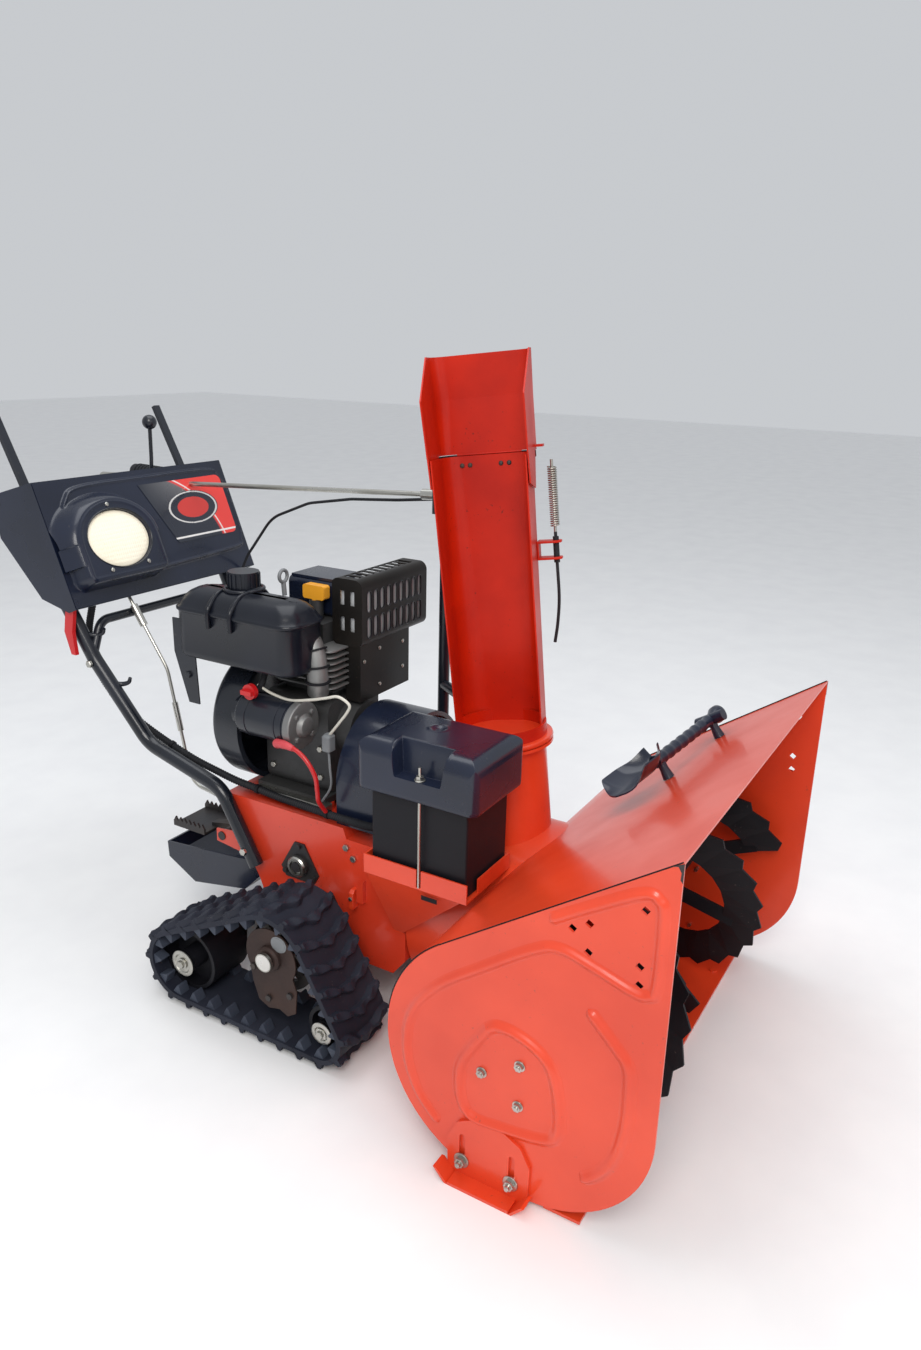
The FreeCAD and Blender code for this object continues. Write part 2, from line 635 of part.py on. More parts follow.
def main_frame():
    """Folded steel frame: two sides, front wall, rear wall and engine deck."""
    outer = side_prism(FRAME_SIDE, -FRAME_HALF, FRAME_HALF)
    inner = side_prism([(FRAME_FRONT + 3, FRONT_DECK_Z - 3), (-18, FRONT_DECK_Z - 3), (-10, DECK_Z - 3),
                        (FRAME_REAR - 3, DECK_Z - 3), (FRAME_REAR + 2, 340), (186, 206),
                        (144, FRAME_BOTTOM - 5), (FRAME_FRONT + 28, FRAME_BOTTOM - 5),
                        (FRAME_FRONT + 3, FRAME_BOTTOM + 35)], 3 - FRAME_HALF, FRAME_HALF - 3)
    frame = outer.cut(inner)
    belt_slot = box(-120, 82, BELT_PLANE - 34, BELT_PLANE + 34, FRONT_DECK_Z - 10, DECK_Z + 5)
    shaft_hole = rod((0, FRAME_FRONT - 2, AUGER_Z), (0, FRAME_FRONT + 6, AUGER_Z), 24)
    frame = cut(frame, [belt_slot, shaft_hole])
    for y, z, r in ((CROSS_SHAFT[0], CROSS_SHAFT[1], 20), (APEX[0], APEX[1], AXLE_R + 6)):
        frame = frame.cut(rod((-FRAME_HALF - 2, y, z), (FRAME_HALF + 2, y, z), r))
    hook = side_prism([(-62, 232), (-48, 232), (-48, 262), (-62, 276)], -FRAME_HALF - 10, -FRAME_HALF + 1)
    rail = [box(CRANK_X + s * 82 - 12, CRANK_X + s * 82 + 12, 50, 215, DECK_Z, DECK_Z + 14) for s in (-1, 1)]
    y, z = PEDAL_PIVOT
    ears = []
    for x in (-160, -64):
        ear = side_prism([(206, 236), (232, 282), (y + 14, z + 12), (y + 14, z - 14)], x, x + 4)
        ears.append(ear.cut(rod((x - 1, y, z), (x + 5, y, z), 9.05)))
    return fuse([frame, hook] + rail + ears)


CROSS_SHAFT = (87.0, 264.0)


def flange_bearings():
    """Three-bolt flange bearings of the cross shaft and the axle, both sides."""
    pieces = []
    for side in (-1, 1):
        for (y, z), bore, spread in ((CROSS_SHAFT, 10.05, 38), (APEX[:2], AXLE_R + 0.05, 38)):
            x0 = side * (FRAME_HALF + 0.05)
            x1 = side * (FRAME_HALF + 4)
            corners = []
            for k in range(3):
                a = math.radians(90 + 120 * k)
                for shift in (-14, 14):
                    b = a + math.radians(shift)
                    corners.append((y + spread * 1.2 * math.cos(b), z + spread * 1.2 * math.sin(b)))
            plate = side_prism(corners, x0, x1)
            dome = rod((x0, y, z), (side * (FRAME_HALF + 10), y, z), 22)
            piece = plate.fuse(dome).cut(rod((x0 - side * 3, y, z), (side * (FRAME_HALF + 15), y, z), bore))
            heads = []
            for k in range(3):
                a = math.radians(90 + 120 * k)
                centre = (x1 - side * 0.5, y + spread * math.cos(a), z + spread * math.sin(a))
                heads.append(rod(centre, (centre[0] + side * 5, centre[1], centre[2]), 5))
            pieces.append(fuse([piece] + heads))
    return Part.makeCompound(pieces)


def friction_wheel():
    """Cross shaft with the rubber-tyred friction wheel and its pinion."""
    y, z = CROSS_SHAFT
    shaft = rod((-FRAME_HALF - 16, y, z), (FRAME_HALF + 16, y, z), 10)
    wheel = rod((-52, y, z), (-34, y, z), 62)
    pinion = rod((90, y, z), (116, y, z), 32.5)
    return fuse([shaft, wheel, pinion])


GEAR_R = 74.0


def drive_axle():
    """Cross axle with its reduction gear; the sprockets sit on its ends."""
    y, z = APEX[:2]
    axle = rod((-(TRACK_OUT + 1), y, z), (TRACK_OUT + 1, y, z), AXLE_R)
    gear = rod((92, y, z), (114, y, z), GEAR_R)
    for k in range(6):
        a = math.radians(60 * k)
        hy, hz = y + 46 * math.cos(a), z + 46 * math.sin(a)
        gear = gear.cut(rod((91, hy, hz), (115, hy, hz), 13))
    caps = [rod((s * (TRACK_OUT + 1), y, z), (s * (TRACK_OUT + 7), y, z), 17) for s in (-1, 1)]
    return fuse([axle, gear] + caps)


TRACK_CIRCLES = [APEX, FRONT, REAR]


def track_belt(side):
    """Rubber belt round the three wheels, with outer lugs and inner guide wedges."""
    x0 = TRACK_IN
    x1 = TRACK_OUT
    outer = loop_face(TRACK_CIRCLES, 0, x0).extrude(V(x1 - x0, 0, 0))
    inner = loop_face(TRACK_CIRCLES, -CARCASS, x0 - 1).extrude(V(x1 - x0 + 2, 0, 0))
    belt = outer.cut(inner)
    lugs = []
    for station in loop_stations(TRACK_CIRCLES, 0, 26):
        profile = [at_station(station, a, o) for a, o in ((-11, -3), (11, -3), (7, LUG), (-7, LUG))]
        lugs.append(side_prism(profile, x0, x1))
    for station in loop_stations(TRACK_CIRCLES, -CARCASS, 26):
        profile = [at_station(station, a, o) for a, o in ((-8, 3), (8, 3), (0, -17))]
        lugs.append(side_prism(profile, x1 - 26, x1 - 4))
    belt = belt.multiFuse(lugs)
    return belt if side > 0 else mirrored(belt)


WHEEL_X = (222.0, 312.0)


def road_wheel(place, dish, hub_r):
    """A guide wheel of the right-hand track, with a dished face and a bolt."""
    y, z, r = place
    radius = r - CARCASS - WHEEL_GAP
    x0, x1 = WHEEL_X
    wheel = rod((-x0, y, z), (-x1, y, z), radius)
    wheel = wheel.cut(rod((-x1 + dish, y, z), (-x1 - 2, y, z), radius - 7))
    hub = rod((-x1 + dish + 4, y, z), (-x1 - 8, y, z), hub_r)
    bolt = hex_bolt((-x1 - 12, y, z), (1, 0, 0), 5.5, 8)
    washer = rod((-x1 - 7, y, z), (-x1 - 12, y, z), hub_r - 4)
    body = fuse([wheel, hub, washer, bolt])
    return body.cut(rod((-x0 + 1, y, z), (-x1 + 16, y, z), 9.05))


def drive_sprockets():
    """Toothed drive wheels on both ends of the axle."""
    y, z, r = APEX
    radius = r - CARCASS - WHEEL_GAP
    x0, x1 = WHEEL_X
    rims = [pipe((-x0 - 6, y, z), (-x0 - 18, y, z), radius, radius - 16),
            pipe((-x1 + 18, y, z), (-x1 + 6, y, z), radius, radius - 16)]
    hub = rod((-x0, y, z), (-x1 - 14, y, z), 22)
    parts = rims + [hub]
    for k in range(8):
        a = math.radians(45 * k)
        cy, cz = y + (radius - 8) * math.cos(a), z + (radius - 8) * math.sin(a)
        parts.append(rod((-x0 - 6, cy, cz), (-x1 + 6, cy, cz), 5))
    for x in (-x0 - 12, -x1 + 12):
        for k in range(4):
            spoke = box(x - 4, x + 4, -9, 9, 10, radius - 10)
            spoke.rotate(V(0, 0, 0), V(1, 0, 0), 90 * k + 45)
            spoke.translate(V(0, y, z))
            parts.append(spoke)
    sprocket = fuse(parts).cut(rod((-x0 + 3, y, z), (-x1 - 17, y, z), AXLE_R))
    return Part.makeCompound([sprocket, mirrored(sprocket)])


def track_frames():
    """Arms that hold the guide wheels of both tracks, hung on the axle."""
    x1 = TRACK_IN - 3
    x0 = TRACK_IN - 11
    ay, az = APEX[:2]
    ry, rz = REAR[:2]
    fy, fz = FRONT[:2]
    plate = side_prism([(ay - 22, az + 22), (ay + 22, az + 22), (ry + 16, rz + 14), (ry + 16, rz - 16),
                        (ry - 30, rz - 20), (fy + 30, fz - 14), (fy - 14, fz - 14), (fy - 16, fz + 14)],
                       -x1, -x0)
    window = side_prism([(ay + 34, az - 34), (ry - 44, rz + 14), (ay + 34, rz - 2)], -x1 - 1, -x0 + 1)
    plate = plate.cut(window)
    hub = pipe((-x0 + 12, ay, az), (-x1 - 4, ay, az), 20, AXLE_R + 0.6)
    pins = [rod((-x0, y, z), (-WHEEL_X[1] + 20, y, z), 9) for y, z in ((ry, rz), (fy, fz))]
    arm = fuse([plate, hub] + pins).cut(rod((-x0 + 20, ay, az), (-x1 - 8, ay, az), AXLE_R + 0.6))
    return Part.makeCompound([arm, mirrored(arm)])


def rear_guard():
    """Black folded tray behind the frame, below the handlebar."""
    outline = [(191, 206), (205, 229), (444, 206), (442, 172), (372, 134), (236, 160)]
    outer = side_prism(outline, -160, 160)
    inner = side_prism([(195, 206), (210, 240), (440, 226), (438, 175), (372, 138), (238, 164)], -157, 157)
    return outer.cut(inner)


PEDAL_PIVOT = (290.0, 262.0)


def track_pedal():
    """Foot pedal with toothed edges that frees the track position."""
    y, z = PEDAL_PIVOT
    pivot = rod((-162, y, z), (-58, y, z), 9)
    arm = prism([(-120, y + 4, z - 7), (-120, y + 66, z - 16), (-120, y + 66, z - 6), (-120, y, z + 7)],
                (20, 0, 0))
    tread = box(-156, -64, y + 52, y + 136, z - 16, z - 12)
    walls = []
    for x in (-156, -68):
        walls.append(box(x, x + 4, y + 52, y + 136, z - 16, z - 4))
        for k in range(7):
            foot = y + 52 + 12 * k
            walls.append(prism([(x, foot, z - 5), (x, foot + 12, z - 5), (x, foot + 6, z + 5)], (4, 0, 0)))
    return fuse([pivot, arm, tread] + walls)


# ---------------------------------------------------------------- engine
BLOCK_BASE = DECK_Z + 14.0


def engine_block():
    """Cast crankcase, finned cylinder and rocker cover."""
    base = box(CRANK_X - 94, CRANK_X + 94, 52, 213, BLOCK_BASE, BLOCK_BASE + 12)
    case = box(CRANK_X - 74, CRANK_X + 84, 58, 205, BLOCK_BASE + 10, CRANK_Z + 62)
    case = rounded(case, 22, along(V(0, 1, 0)))
    nose = rod((CRANK_X, 26, CRANK_Z), (CRANK_X, 60, CRANK_Z), 52)
    barrel = box(CRANK_X - 30, CRANK_X + 70, 76, 190, CRANK_Z + 55, 667)
    fins = [box(CRANK_X - 46, CRANK_X + 86, 66, 200, z, z + 4) for z in range(582, 664, 12)]
    head = box(CRANK_X - 40, CRANK_X + 80, 92, 186, 666, 706)
    filler = rod((DIPSTICK[0], DIPSTICK[1], 560), (DIPSTICK[0], DIPSTICK[1], 742), 13)
    block = fuse([base, case, nose, barrel, head, filler] + fins)
    return block.cut(rod((DIPSTICK[0], DIPSTICK[1], 715), (DIPSTICK[0], DIPSTICK[1], 745), 9.1))


def blower_housing():
    """Round fan shroud and recoil cover behind the engine."""
    x, z = CRANK_X - 14, CRANK_Z - 5
    drum = rod((x, 216, z), (x, 284, z), 128)
    drum = rounded(drum, 16, lambda e: e.CenterOfMass.y > 280 and e.Length > 300)
    cap = rod((x, 283, z), (x, 306, z), 84)
    cap = rounded(cap, 10, lambda e: e.CenterOfMass.y > 300 and e.Length > 300)
    shroud = drum.fuse(cap)
    hollow = rod((x, 214, z), (x, 279, z), 118)
    return shroud.cut(hollow)


TANK = (-196.0, -90.0, 72.0, 350.0, 633.0, 728.0)
TANK_TOP = 762.0


def fuel_tank():
    """Blow-moulded tank with a bevelled top, a lid line, a spigot and a hanging bracket."""
    x0, x1, y0, y1, z0, z1 = TANK
    lower = rounded(box(x0, x1, y0, y1, z0, z1), 34, along(V(0, 0, 1)))
    rings = []
    for inset, z in ((0, z1 - 1), (24, TANK_TOP)):
        corners = [V(x0 + inset, y0 + inset, z), V(x1 - inset, y0 + inset, z),
                   V(x1 - inset, y1 - inset, z), V(x0 + inset, y1 - inset, z)]
        rings.append(Part.makePolygon(corners + [corners[0]]))
    crown = Part.makeLoft(rings, True, True)
    crown = crown.common(rounded(box(x0, x1, y0, y1, z1 - 10, TANK_TOP + 10), 34, along(V(0, 0, 1))))
    seam = rounded(box(x0 - 3, x1 + 3, y0 - 3, y1 + 3, z1 - 6, z1), 36, along(V(0, 0, 1)))
    neck = rod((FUEL_CAP[0], FUEL_CAP[1], 740), (FUEL_CAP[0], FUEL_CAP[1], 774), 24)
    bracket = side_prism([(352, 700), (352, 640), (322, 545), (296, 545), (300, 640)], -192, -189)
    tab = side_prism([(348, 700), (348, 640), (304, 641), (304, 700)], -190, -180)
    x, y, z = FUEL_VALVE
    spigot = rod((x + 12, y, z - 12), (x + 12, y, z0 + 4), 9)
    tank = fuse([lower, crown, seam, neck, bracket, tab, spigot])
    return tank.cut(rod((x - 5, y, z), (x + 30, y, z), 3.05))


FUEL_CAP = (-128.0, 232.0)


def fuel_cap():
    """Ribbed screw cap."""
    x, y = FUEL_CAP
    cap = pipe((x, y, 763), (x, y, 795), 28, 24.3)
    cap = cap.fuse(rod((x, y, 775), (x, y, 795), 28))
    ribs = []
    for k in range(18):
        rib = box(-1.6, 1.6, 26, 30, 766, 792)
        rib.rotate(V(0, 0, 0), V(0, 0, 1), 20 * k)
        rib.translate(V(x, y, 0))
        ribs.append(rib)
    return fuse([cap] + ribs)


GUARD = (-62.0, 150.0, 18.0, 84.0, 668.0, 792.0)


def muffler():
    """Steel can inside the guard with its inlet pipe."""
    x0, x1, y0, y1, z0, z1 = GUARD
    can = rounded(box(x0 + 12, x1 - 12, y0 + 10, y1 - 8, z0 + 12, z1 - 12), 14, along(V(1, 0, 0)))
    seam = box(x0 + 14, x1 - 14, y0 + 6, y1 - 6, 728, 732)
    return fuse([can, seam])


def muffler_guard():
    """Slotted guard round the muffler, with the heat shield below it."""
    x0, x1, y0, y1, z0, z1 = GUARD
    outer = rounded(box(x0, x1, y0, y1 + 2, z0, z1), 16, along(V(1, 0, 0)))
    guard = outer.cut(rounded(box(x0 + 2, x1 - 2, y0 + 2, y1 + 20, z0 + 2, z1 - 2), 14, along(V(1, 0, 0))))
    guard = guard.cut(box(x0 - 5, x1 + 5, y1, y1 + 30, z0 - 5, z1 + 5))
    slots = []
    for row in (690.0, 738.0):
        for k in range(9):
            x = x0 + 22 + 20.5 * k
            slot = box(x - 6, x + 6, y0 - 2, y0 + 4, row, row + 26)
            slot = slot.fuse(rod((x, y0 - 2, row), (x, y0 + 4, row), 6))
            slot = slot.fuse(rod((x, y0 - 2, row + 26), (x, y0 + 4, row + 26), 6))
            slots.append(slot)
    for k in range(9):
        x = x0 + 22 + 20.5 * k
        slots.append(box(x - 6, x + 6, y0 + 20, y1 - 14, z1 - 4, z1 + 4))
    for y in (y0 + 22, y0 + 44):
        for z in (696, 744):
            slots.append(box(x0 - 4, x0 + 4, y - 5, y + 5, z, z + 26))
            slots.append(box(x1 - 4, x1 + 4, y - 5, y + 5, z, z + 26))
    guard = cut(guard, slots)
    shield = box(x0 + 2, x0 + 160, y0 + 6, y0 + 8, 564, z0 + 6)
    wing = box(x0 + 158, x0 + 160, y0 + 6, y0 + 46, 564, z0 + 6)
    rear = box(x0 + 2, x0 + 4, y0 + 6, y0 + 40, 564, z0 + 6)
    return fuse([guard, shield, wing, rear])


STARTER = (-168.0, 545.0)


def starter_motor():
    """Electric starter with an alloy end cap and a mounting ear."""
    x, z = STARTER
    body = rod((x, 84, z), (x, 200, z), 40)
    body = rounded(body, 8, lambda e: e.CenterOfMass.y > 199)
    cap = rod((x, 70, z), (x, 84, z), 43)
    cap = rounded(cap, 5, lambda e: e.CenterOfMass.y < 71)
    boss = rod((x, 60, z), (x, 72, z), 10)
    screws = []
    for k in range(4):
        a = math.radians(45 + 90 * k)
        sx, sz = x + 30 * math.cos(a), z + 30 * math.sin(a)
        screws.append(rod((sx, 66, sz), (sx, 72, sz), 4))
    ear = box(x + 20, CRANK_X - 74, 120, 170, z - 20, z + 16)
    drive = rod((x, 198, z), (x, 214, z), 28)
    return fuse([body, cap, boss, ear, drive] + screws)


DIPSTICK = (-52.0, 128.0)


def dipstick():
    """Yellow oil filler handle on its tube plug."""
    x, y = DIPSTICK
    plug = rod((x, y, 722), (x, y, 746), 9)
    grip = rounded(box(x - 9, x + 9, y - 24, y + 24, 744, 770), 5, along(V(1, 0, 0)))
    return plug.fuse(grip)


FUEL_VALVE = (-192.0, 165.0, 598.0)


def fuel_valve():
    """Red quarter-turn fuel tap below the tank."""
    x, y, z = FUEL_VALVE
    dial = rod((x, y, z), (x - 10, y, z), 14)
    bar = box(x - 18, x - 8, y - 12, y + 12, z - 4, z + 4)
    stem = rod((x + 20, y, z), (x, y, z), 3)
    return fuse([dial, bar, stem])


def carburettor_cover():
    """Black cold-weather box over the carburettor, on the rocker cover."""
    cover = rounded(box(-36, 52, 92, 205, 706.5, 774), 12, along(V(0, 1, 0)))
    lid = box(-32, 48, 96, 201, 773, 778)
    return cover.fuse(lid)


BELT_COVER = (-158.0, 88.0, -104.0, 8.0)


def belt_cover():
    """Deep moulded cover over the belts, arched on top, open below and behind."""
    x0, x1, y0, y1 = BELT_COVER
    xm = (x0 + x1) / 2
    half = (x1 - x0) / 2

    def arch(grow, ya, yb):
        width = half - grow
        left_foot = V(xm - width, ya, DECK_Z + 0.5)
        right_foot = V(xm + width, ya, DECK_Z + 0.5)
        left_spring = V(xm - width, ya, 452)
        right_spring = V(xm + width, ya, 452)
        crown = V(xm, ya, 562 - grow)
        edges = [Part.LineSegment(left_foot, left_spring).toShape(),
                 Part.Arc(left_spring, crown, right_spring).toShape(),
                 Part.LineSegment(right_spring, right_foot).toShape(),
                 Part.LineSegment(right_foot, left_foot).toShape()]
        return Part.Face(Part.Wire(edges)).extrude(V(0, yb - ya, 0))
    shell = arch(0, y0, y1).cut(arch(3, y0 + 20, y1 + 1))
    shell = shell.cut(arch(8, y0 - 1, y0 + 16))
    vents = [box(xm - 60, xm + 60, y0 + 10, y0 + 24, z, z + 6) for z in range(470, 550, 14)]
    return cut(shell, vents)


def pulley(x, z, radius, y, bore):
    """A V pulley of one groove about a fore-and-aft axis."""
    rim = rod((x, y - 12, z), (x, y + 12, z), radius)
    groove = cone((x, y - 8, z), (x, y, z), radius + 1, radius - 9)
    groove = groove.fuse(cone((x, y, z), (x, y + 8, z), radius - 9, radius + 1))
    ring = rod((x, y - 8, z), (x, y + 8, z), radius + 2).cut(groove)
    return rim.cut(ring).cut(rod((x, y - 13, z), (x, y + 13, z), bore))


CRANK_R = 12.0
ENGINE_PULLEY_R = 40.0
FAN_PULLEY_R = 90.0


def engine_pulley():
    """Pulley and crankshaft end."""
    wheel = pulley(CRANK_X, CRANK_Z, ENGINE_PULLEY_R, BELT_PLANE, CRANK_R - 1)
    shaft = rod((CRANK_X, BELT_PLANE - 16, CRANK_Z), (CRANK_X, 25, CRANK_Z), CRANK_R)
    return wheel.fuse(shaft)


def impeller_pulley():
    """Driven pulley on the impeller shaft."""
    wheel = pulley(0, AUGER_Z, FAN_PULLEY_R, BELT_PLANE, SHAFT_R)
    holes = [rod((50 * math.cos(a), BELT_PLANE - 14, AUGER_Z + 50 * math.sin(a)),
                 (50 * math.cos(a), BELT_PLANE + 14, AUGER_Z + 50 * math.sin(a)), 15)
             for a in (math.radians(60 * k) for k in range(6))]
    return cut(wheel, holes)


def auger_belt():
    """V belt between the engine pulley and the impeller pulley."""
    small = (-CRANK_X, CRANK_Z, ENGINE_PULLEY_R)
    large = (0.0, AUGER_Z, FAN_PULLEY_R)

    def band(grow, width):
        circles = [(y, z, r + grow) for y, z, r in (small, large)]
        solid = loop_face(circles, 0, -width / 2).extrude(V(width, 0, 0))
        solid.rotate(V(0, 0, 0), V(0, 0, 1), 90)
        return solid
    belt = band(5.0, 9.0).cut(band(0.6, 11.0))
    belt.translate(V(0, BELT_PLANE, 0))
    return belt


# ---------------------------------------------------------------- battery
def battery():
    """Sealed lead battery block."""
    x0, x1, y0, y1, z0, z1 = BATTERY
    block = rounded(box(x0, x1, y0, y1, z0, z1), 3, along(V(0, 0, 1)))
    posts = [rod((x1 - 24, y, z1 - 1), (x1 - 24, y, z1 + 14), 8) for y in (y0 + 26, y1 - 26)]
    return fuse([block] + posts)


COVER = (-258.0, -96.0, -332.0, -109.0, 508.0, 598.0)


def battery_cover():
    """Moulded lid with bevelled shoulders and a recess for the hold-down nut."""
    x0, x1, y0, y1, z0, z1 = COVER
    skirt = box(x0, x1, y0, y1, z0, z1 - 24)

    def frame_wire(inset, z):
        points = [V(x0 + inset, y0 + inset, z), V(x1 - inset, y0 + inset, z), V(x1 - inset, y1 - inset, z),
                  V(x0 + inset, y1 - inset, z), V(x0 + inset, y0 + inset, z)]
        return Part.makePolygon(points)
    top = Part.makeLoft([frame_wire(0, z1 - 24), frame_wire(20, z1)], True, True)
    lid = skirt.fuse(top).removeSplitter()
    lid = rounded(lid, 6, along(V(0, 0, 1)))
    hollow = box(BATTERY[0] - 3, BATTERY[1] + 3, BATTERY[2] - 3, BATTERY[3] + 3, z0 - 1, z1 - 32)
    notch = box(x0 - 1, HOLD_X + 16, HOLD_Y - 48, HOLD_Y + 48, z1 - 56, z1 + 5)
    pocket = box(x0 + 3, HOLD_X + 19, HOLD_Y - 51, HOLD_Y + 51, z1 - 60, z1 - 31)
    slot = box(x0 - 1, HOLD_X + 6, HOLD_Y - 4.5, HOLD_Y + 4.5, z0 - 2, z1 - 54)
    floor = box(x0, HOLD_X + 18, HOLD_Y - 50, HOLD_Y + 50, z1 - 60, z1 - 56)
    lid = lid.cut(hollow).fuse(pocket.common(lid))
    lid = lid.cut(notch).fuse(floor)
    return lid.cut(slot)


HOLD_X = -250.0
HOLD_Y = -226.0


def battery_tray():
    """Folded tray with flanges and the gusset that carries it from the frame."""
    x0, x1, y0, y1 = -247.0, -104.0, -316.0, -121.0
    z0 = 351.0
    floor = box(x0, x1, y0, y1, z0, z0 + 3)
    near = box(x0 - 3, x0, y0, y1, z0, z0 + 34)
    front = box(x0 + 36, x1, y0, y0 + 3, z0, z0 + 28)
    rear = box(x0 - 3, x1, y1, y1 + 3, z0, z0 + 34)
    gusset = prism([(x0 - 3, y0 + 10, z0 + 1.5), (x0 - 3, y1 - 1, z0 + 1.5), (-FRAME_HALF - 3.6, -126, 198),
                    (-FRAME_HALF - 3.6, -144, 198)], (3, 0, 0))
    arm = box(-FRAME_HALF - 4, -FRAME_HALF - 0.3, -146, -124, 196, z0 + 3)
    near = near.cut(box(x0 - 4, x0 + 2, HOLD_Y - 4.5, HOLD_Y + 4.5, z0 + 3, z0 + 40))
    return fuse([floor, near, front, rear, gusset, arm])


def battery_hold_down():
    """Threaded rod with its nut beside the battery."""
    stem = rod((HOLD_X + 1.5, HOLD_Y, 354.1), (HOLD_X + 1.5, HOLD_Y, 566), 2.8)
    nut = hex_bolt((HOLD_X + 1.5, HOLD_Y, 543), (0, 0, -1), 4, 1)
    return stem.fuse(nut)


# ---------------------------------------------------------------- handlebar and controls
GRIP_START = (-262.0, 770.0, 884.0)
GRIP_END = (-272.0, 930.0, 876.0)


def handle_points(side):
    """Corners of one handlebar tube; side is -1 for the operator's right."""
    points = [(-183, 182, 240), (-183, 262, 380), (-190, 440, 434), (-206, 556, 590),
              (-228, 712, 880), GRIP_END]
    return [(-side * x, y, z) for x, y, z in points]


def handlebar():
    """Two bent tubes joined by a cross tube."""
    bars = []
    for side in (-1, 1):
        bars.append(bent_bar(handle_points(side), [60, 70, 90, 60], TUBE_R))
    cross = bent_bar([(-206, 560, 597), (-176, 566, 660), (176, 566, 660), (206, 560, 597)], [30, 30], 9)
    return fuse([bars[0], bars[1], cross])


def hand_grips():
    """Rubber sleeves on the two handle ends."""
    sleeves = []
    for side in (-1, 1):
        start = V(*handle_points(side)[-2])
        end = V(*handle_points(side)[-1])
        way = (end - start).normalize()
        sleeve = Part.makeCylinder(18.5, 134, end - way * 130, way)
        sleeve = sleeve.cut(Part.makeCylinder(TUBE_R + 0.02, 130.02, end - way * 130, way))
        ribs = []
        for k in range(9):
            ring = Part.makeCylinder(20, 5, end - way * (122 - 13 * k), way)
            ribs.append(ring.cut(Part.makeCylinder(TUBE_R + 2, 5, end - way * (122 - 13 * k), way)))
        sleeves.append(fuse([sleeve] + ribs))
    return Part.makeCompound(sleeves)


def on_dash(x, up, out):
    """A point on the sloping dash front: across, up the face and out of it."""
    dy = DASH_TOP[0] - DASH_FOOT[0]
    dz = DASH_TOP[1] - DASH_FOOT[1]
    run = math.hypot(dy, dz)
    return V(x, DASH_FOOT[0] + dy / run * up - dz / run * out, DASH_FOOT[1] + dz / run * up + dy / run * out)


LAMP = (-126.0, 112.0)        # centre of the lamp across and up the dash front
LENS = (74.0, 56.0)


def dash_oval(half_width, half_height, out):
    """An oval outline round the lamp, parallel to the dash front."""
    centre = on_dash(LAMP[0], LAMP[1], out)
    across = on_dash(LAMP[0] + half_width, LAMP[1], out)
    upward = on_dash(LAMP[0], LAMP[1] + half_height, out)
    return Part.Wire(Part.Ellipse(across, upward, centre).toShape())


DASH_SIDE = [DASH_FOOT, DASH_TOP, (762, 892), (744, 812), (640, 706), (566, 690)]


def dash_panel():
    """Moulded dash: front with a lamp pod, top deck and two cheeks; open below and behind."""
    outer = side_prism(DASH_SIDE, -DASH_HALF, DASH_HALF)
    inner = side_prism([(DASH_FOOT[0] + 3.2, DASH_FOOT[1] - 2), (DASH_TOP[0] + 2, DASH_TOP[1] - 3.4),
                        (770, 886.5), (760, 800), (640, 690), (566, 670)], 3 - DASH_HALF, DASH_HALF - 3)
    dash = outer.cut(inner)
    up0, up1 = 36.0, 214.0
    panel = prism([tuple(on_dash(x, up, -1)) for x, up in
                   ((-190, up0), (196, up0 + 24), (206, up1 - 20), (-150, up1))],
                  tuple(on_dash(0, 0, 7) - on_dash(0, 0, 0)))
    normal = (on_dash(0, 0, 1) - on_dash(0, 0, 0)).normalize()
    pod = Part.makeLoft([dash_oval(104, 84, -1), dash_oval(86, 67, 42)], True, True)
    socket = Part.Face(dash_oval(LENS[0] + 0.5, LENS[1] + 0.5, 35)).extrude(normal * 12)
    dash = fuse([dash, panel, pod]).cut(socket)
    tube_clear = []
    for side in (-1, 1):
        tube_clear.append(bent_bar(handle_points(side), [60, 70, 90, 60], TUBE_R + 0.6))
        tube_clear.append(box(side * LEVER_X - 12, side * LEVER_X + 12, 664, 780, 880, 935))
    tube_clear.append(box(52, 78, 640, 706, 880, 940))
    start = V(PEDESTAL[0], PEDESTAL[1] + 19, PEDESTAL_TOP - 2)
    way = (V(*ROD_END) - start).normalize()
    tube_clear.append(Part.makeCylinder(8, 900, start, way))
    return cut(dash, tube_clear)


def headlight_lens():
    """Domed lens in the lamp pod."""
    normal = (on_dash(0, 0, 1) - on_dash(0, 0, 0)).normalize()
    return Part.Face(dash_oval(LENS[0], LENS[1], 35.2)).extrude(normal * 6)


LEVER_PIVOT = (700.0, 885.0)
LEVER_X = 204.0


def clutch_lever():
    """Right-hand clutch lever, standing up in its released position."""
    y, z = LEVER_PIVOT
    x0, x1 = -LEVER_X - 8, -LEVER_X + 8
    blade = side_prism([(y - 5, z + 3), (y + 3, z - 3), (y + 84, z + 153), (y + 76, z + 157)], x0, x1)
    eye = rod((x0, y, z), (x1, y, z), 9)
    return fuse([blade, eye]).cut(rod((x0 - 1, y, z), (x1 + 1, y, z), 4.05))


SPEED_PIVOT = (660.0, 880.0)


def speed_lever():
    """Ball-topped speed lever in the dash slot."""
    y, z = SPEED_PIVOT
    stem = bent_bar([(65, y, z), (65, y - 6, z + 66), (65, y - 8, z + 136)], [60], 4)
    ball = Part.makeSphere(15, V(65, y - 8, z + 140))
    eye = rod((57, y, z), (73, y, z), 8)
    return fuse([stem, ball, eye])


ROD_X = -100.0


def clutch_rod():
    """Rod, clevis and spring from the dash down to the drive."""
    corners = [(ROD_X, 577, 706), (ROD_X, 473, 556), (ROD_X, 424, 318), (ROD_X, 250, 294)]
    bar = bent_bar(corners, [60, 40], 3.5)
    clevis = rod((ROD_X, 556, 676), (ROD_X, 530, 638), 8)
    sleeve = rod((ROD_X, 459, 488), (ROD_X, 447, 430), 6)
    return fuse([bar, clevis, sleeve])


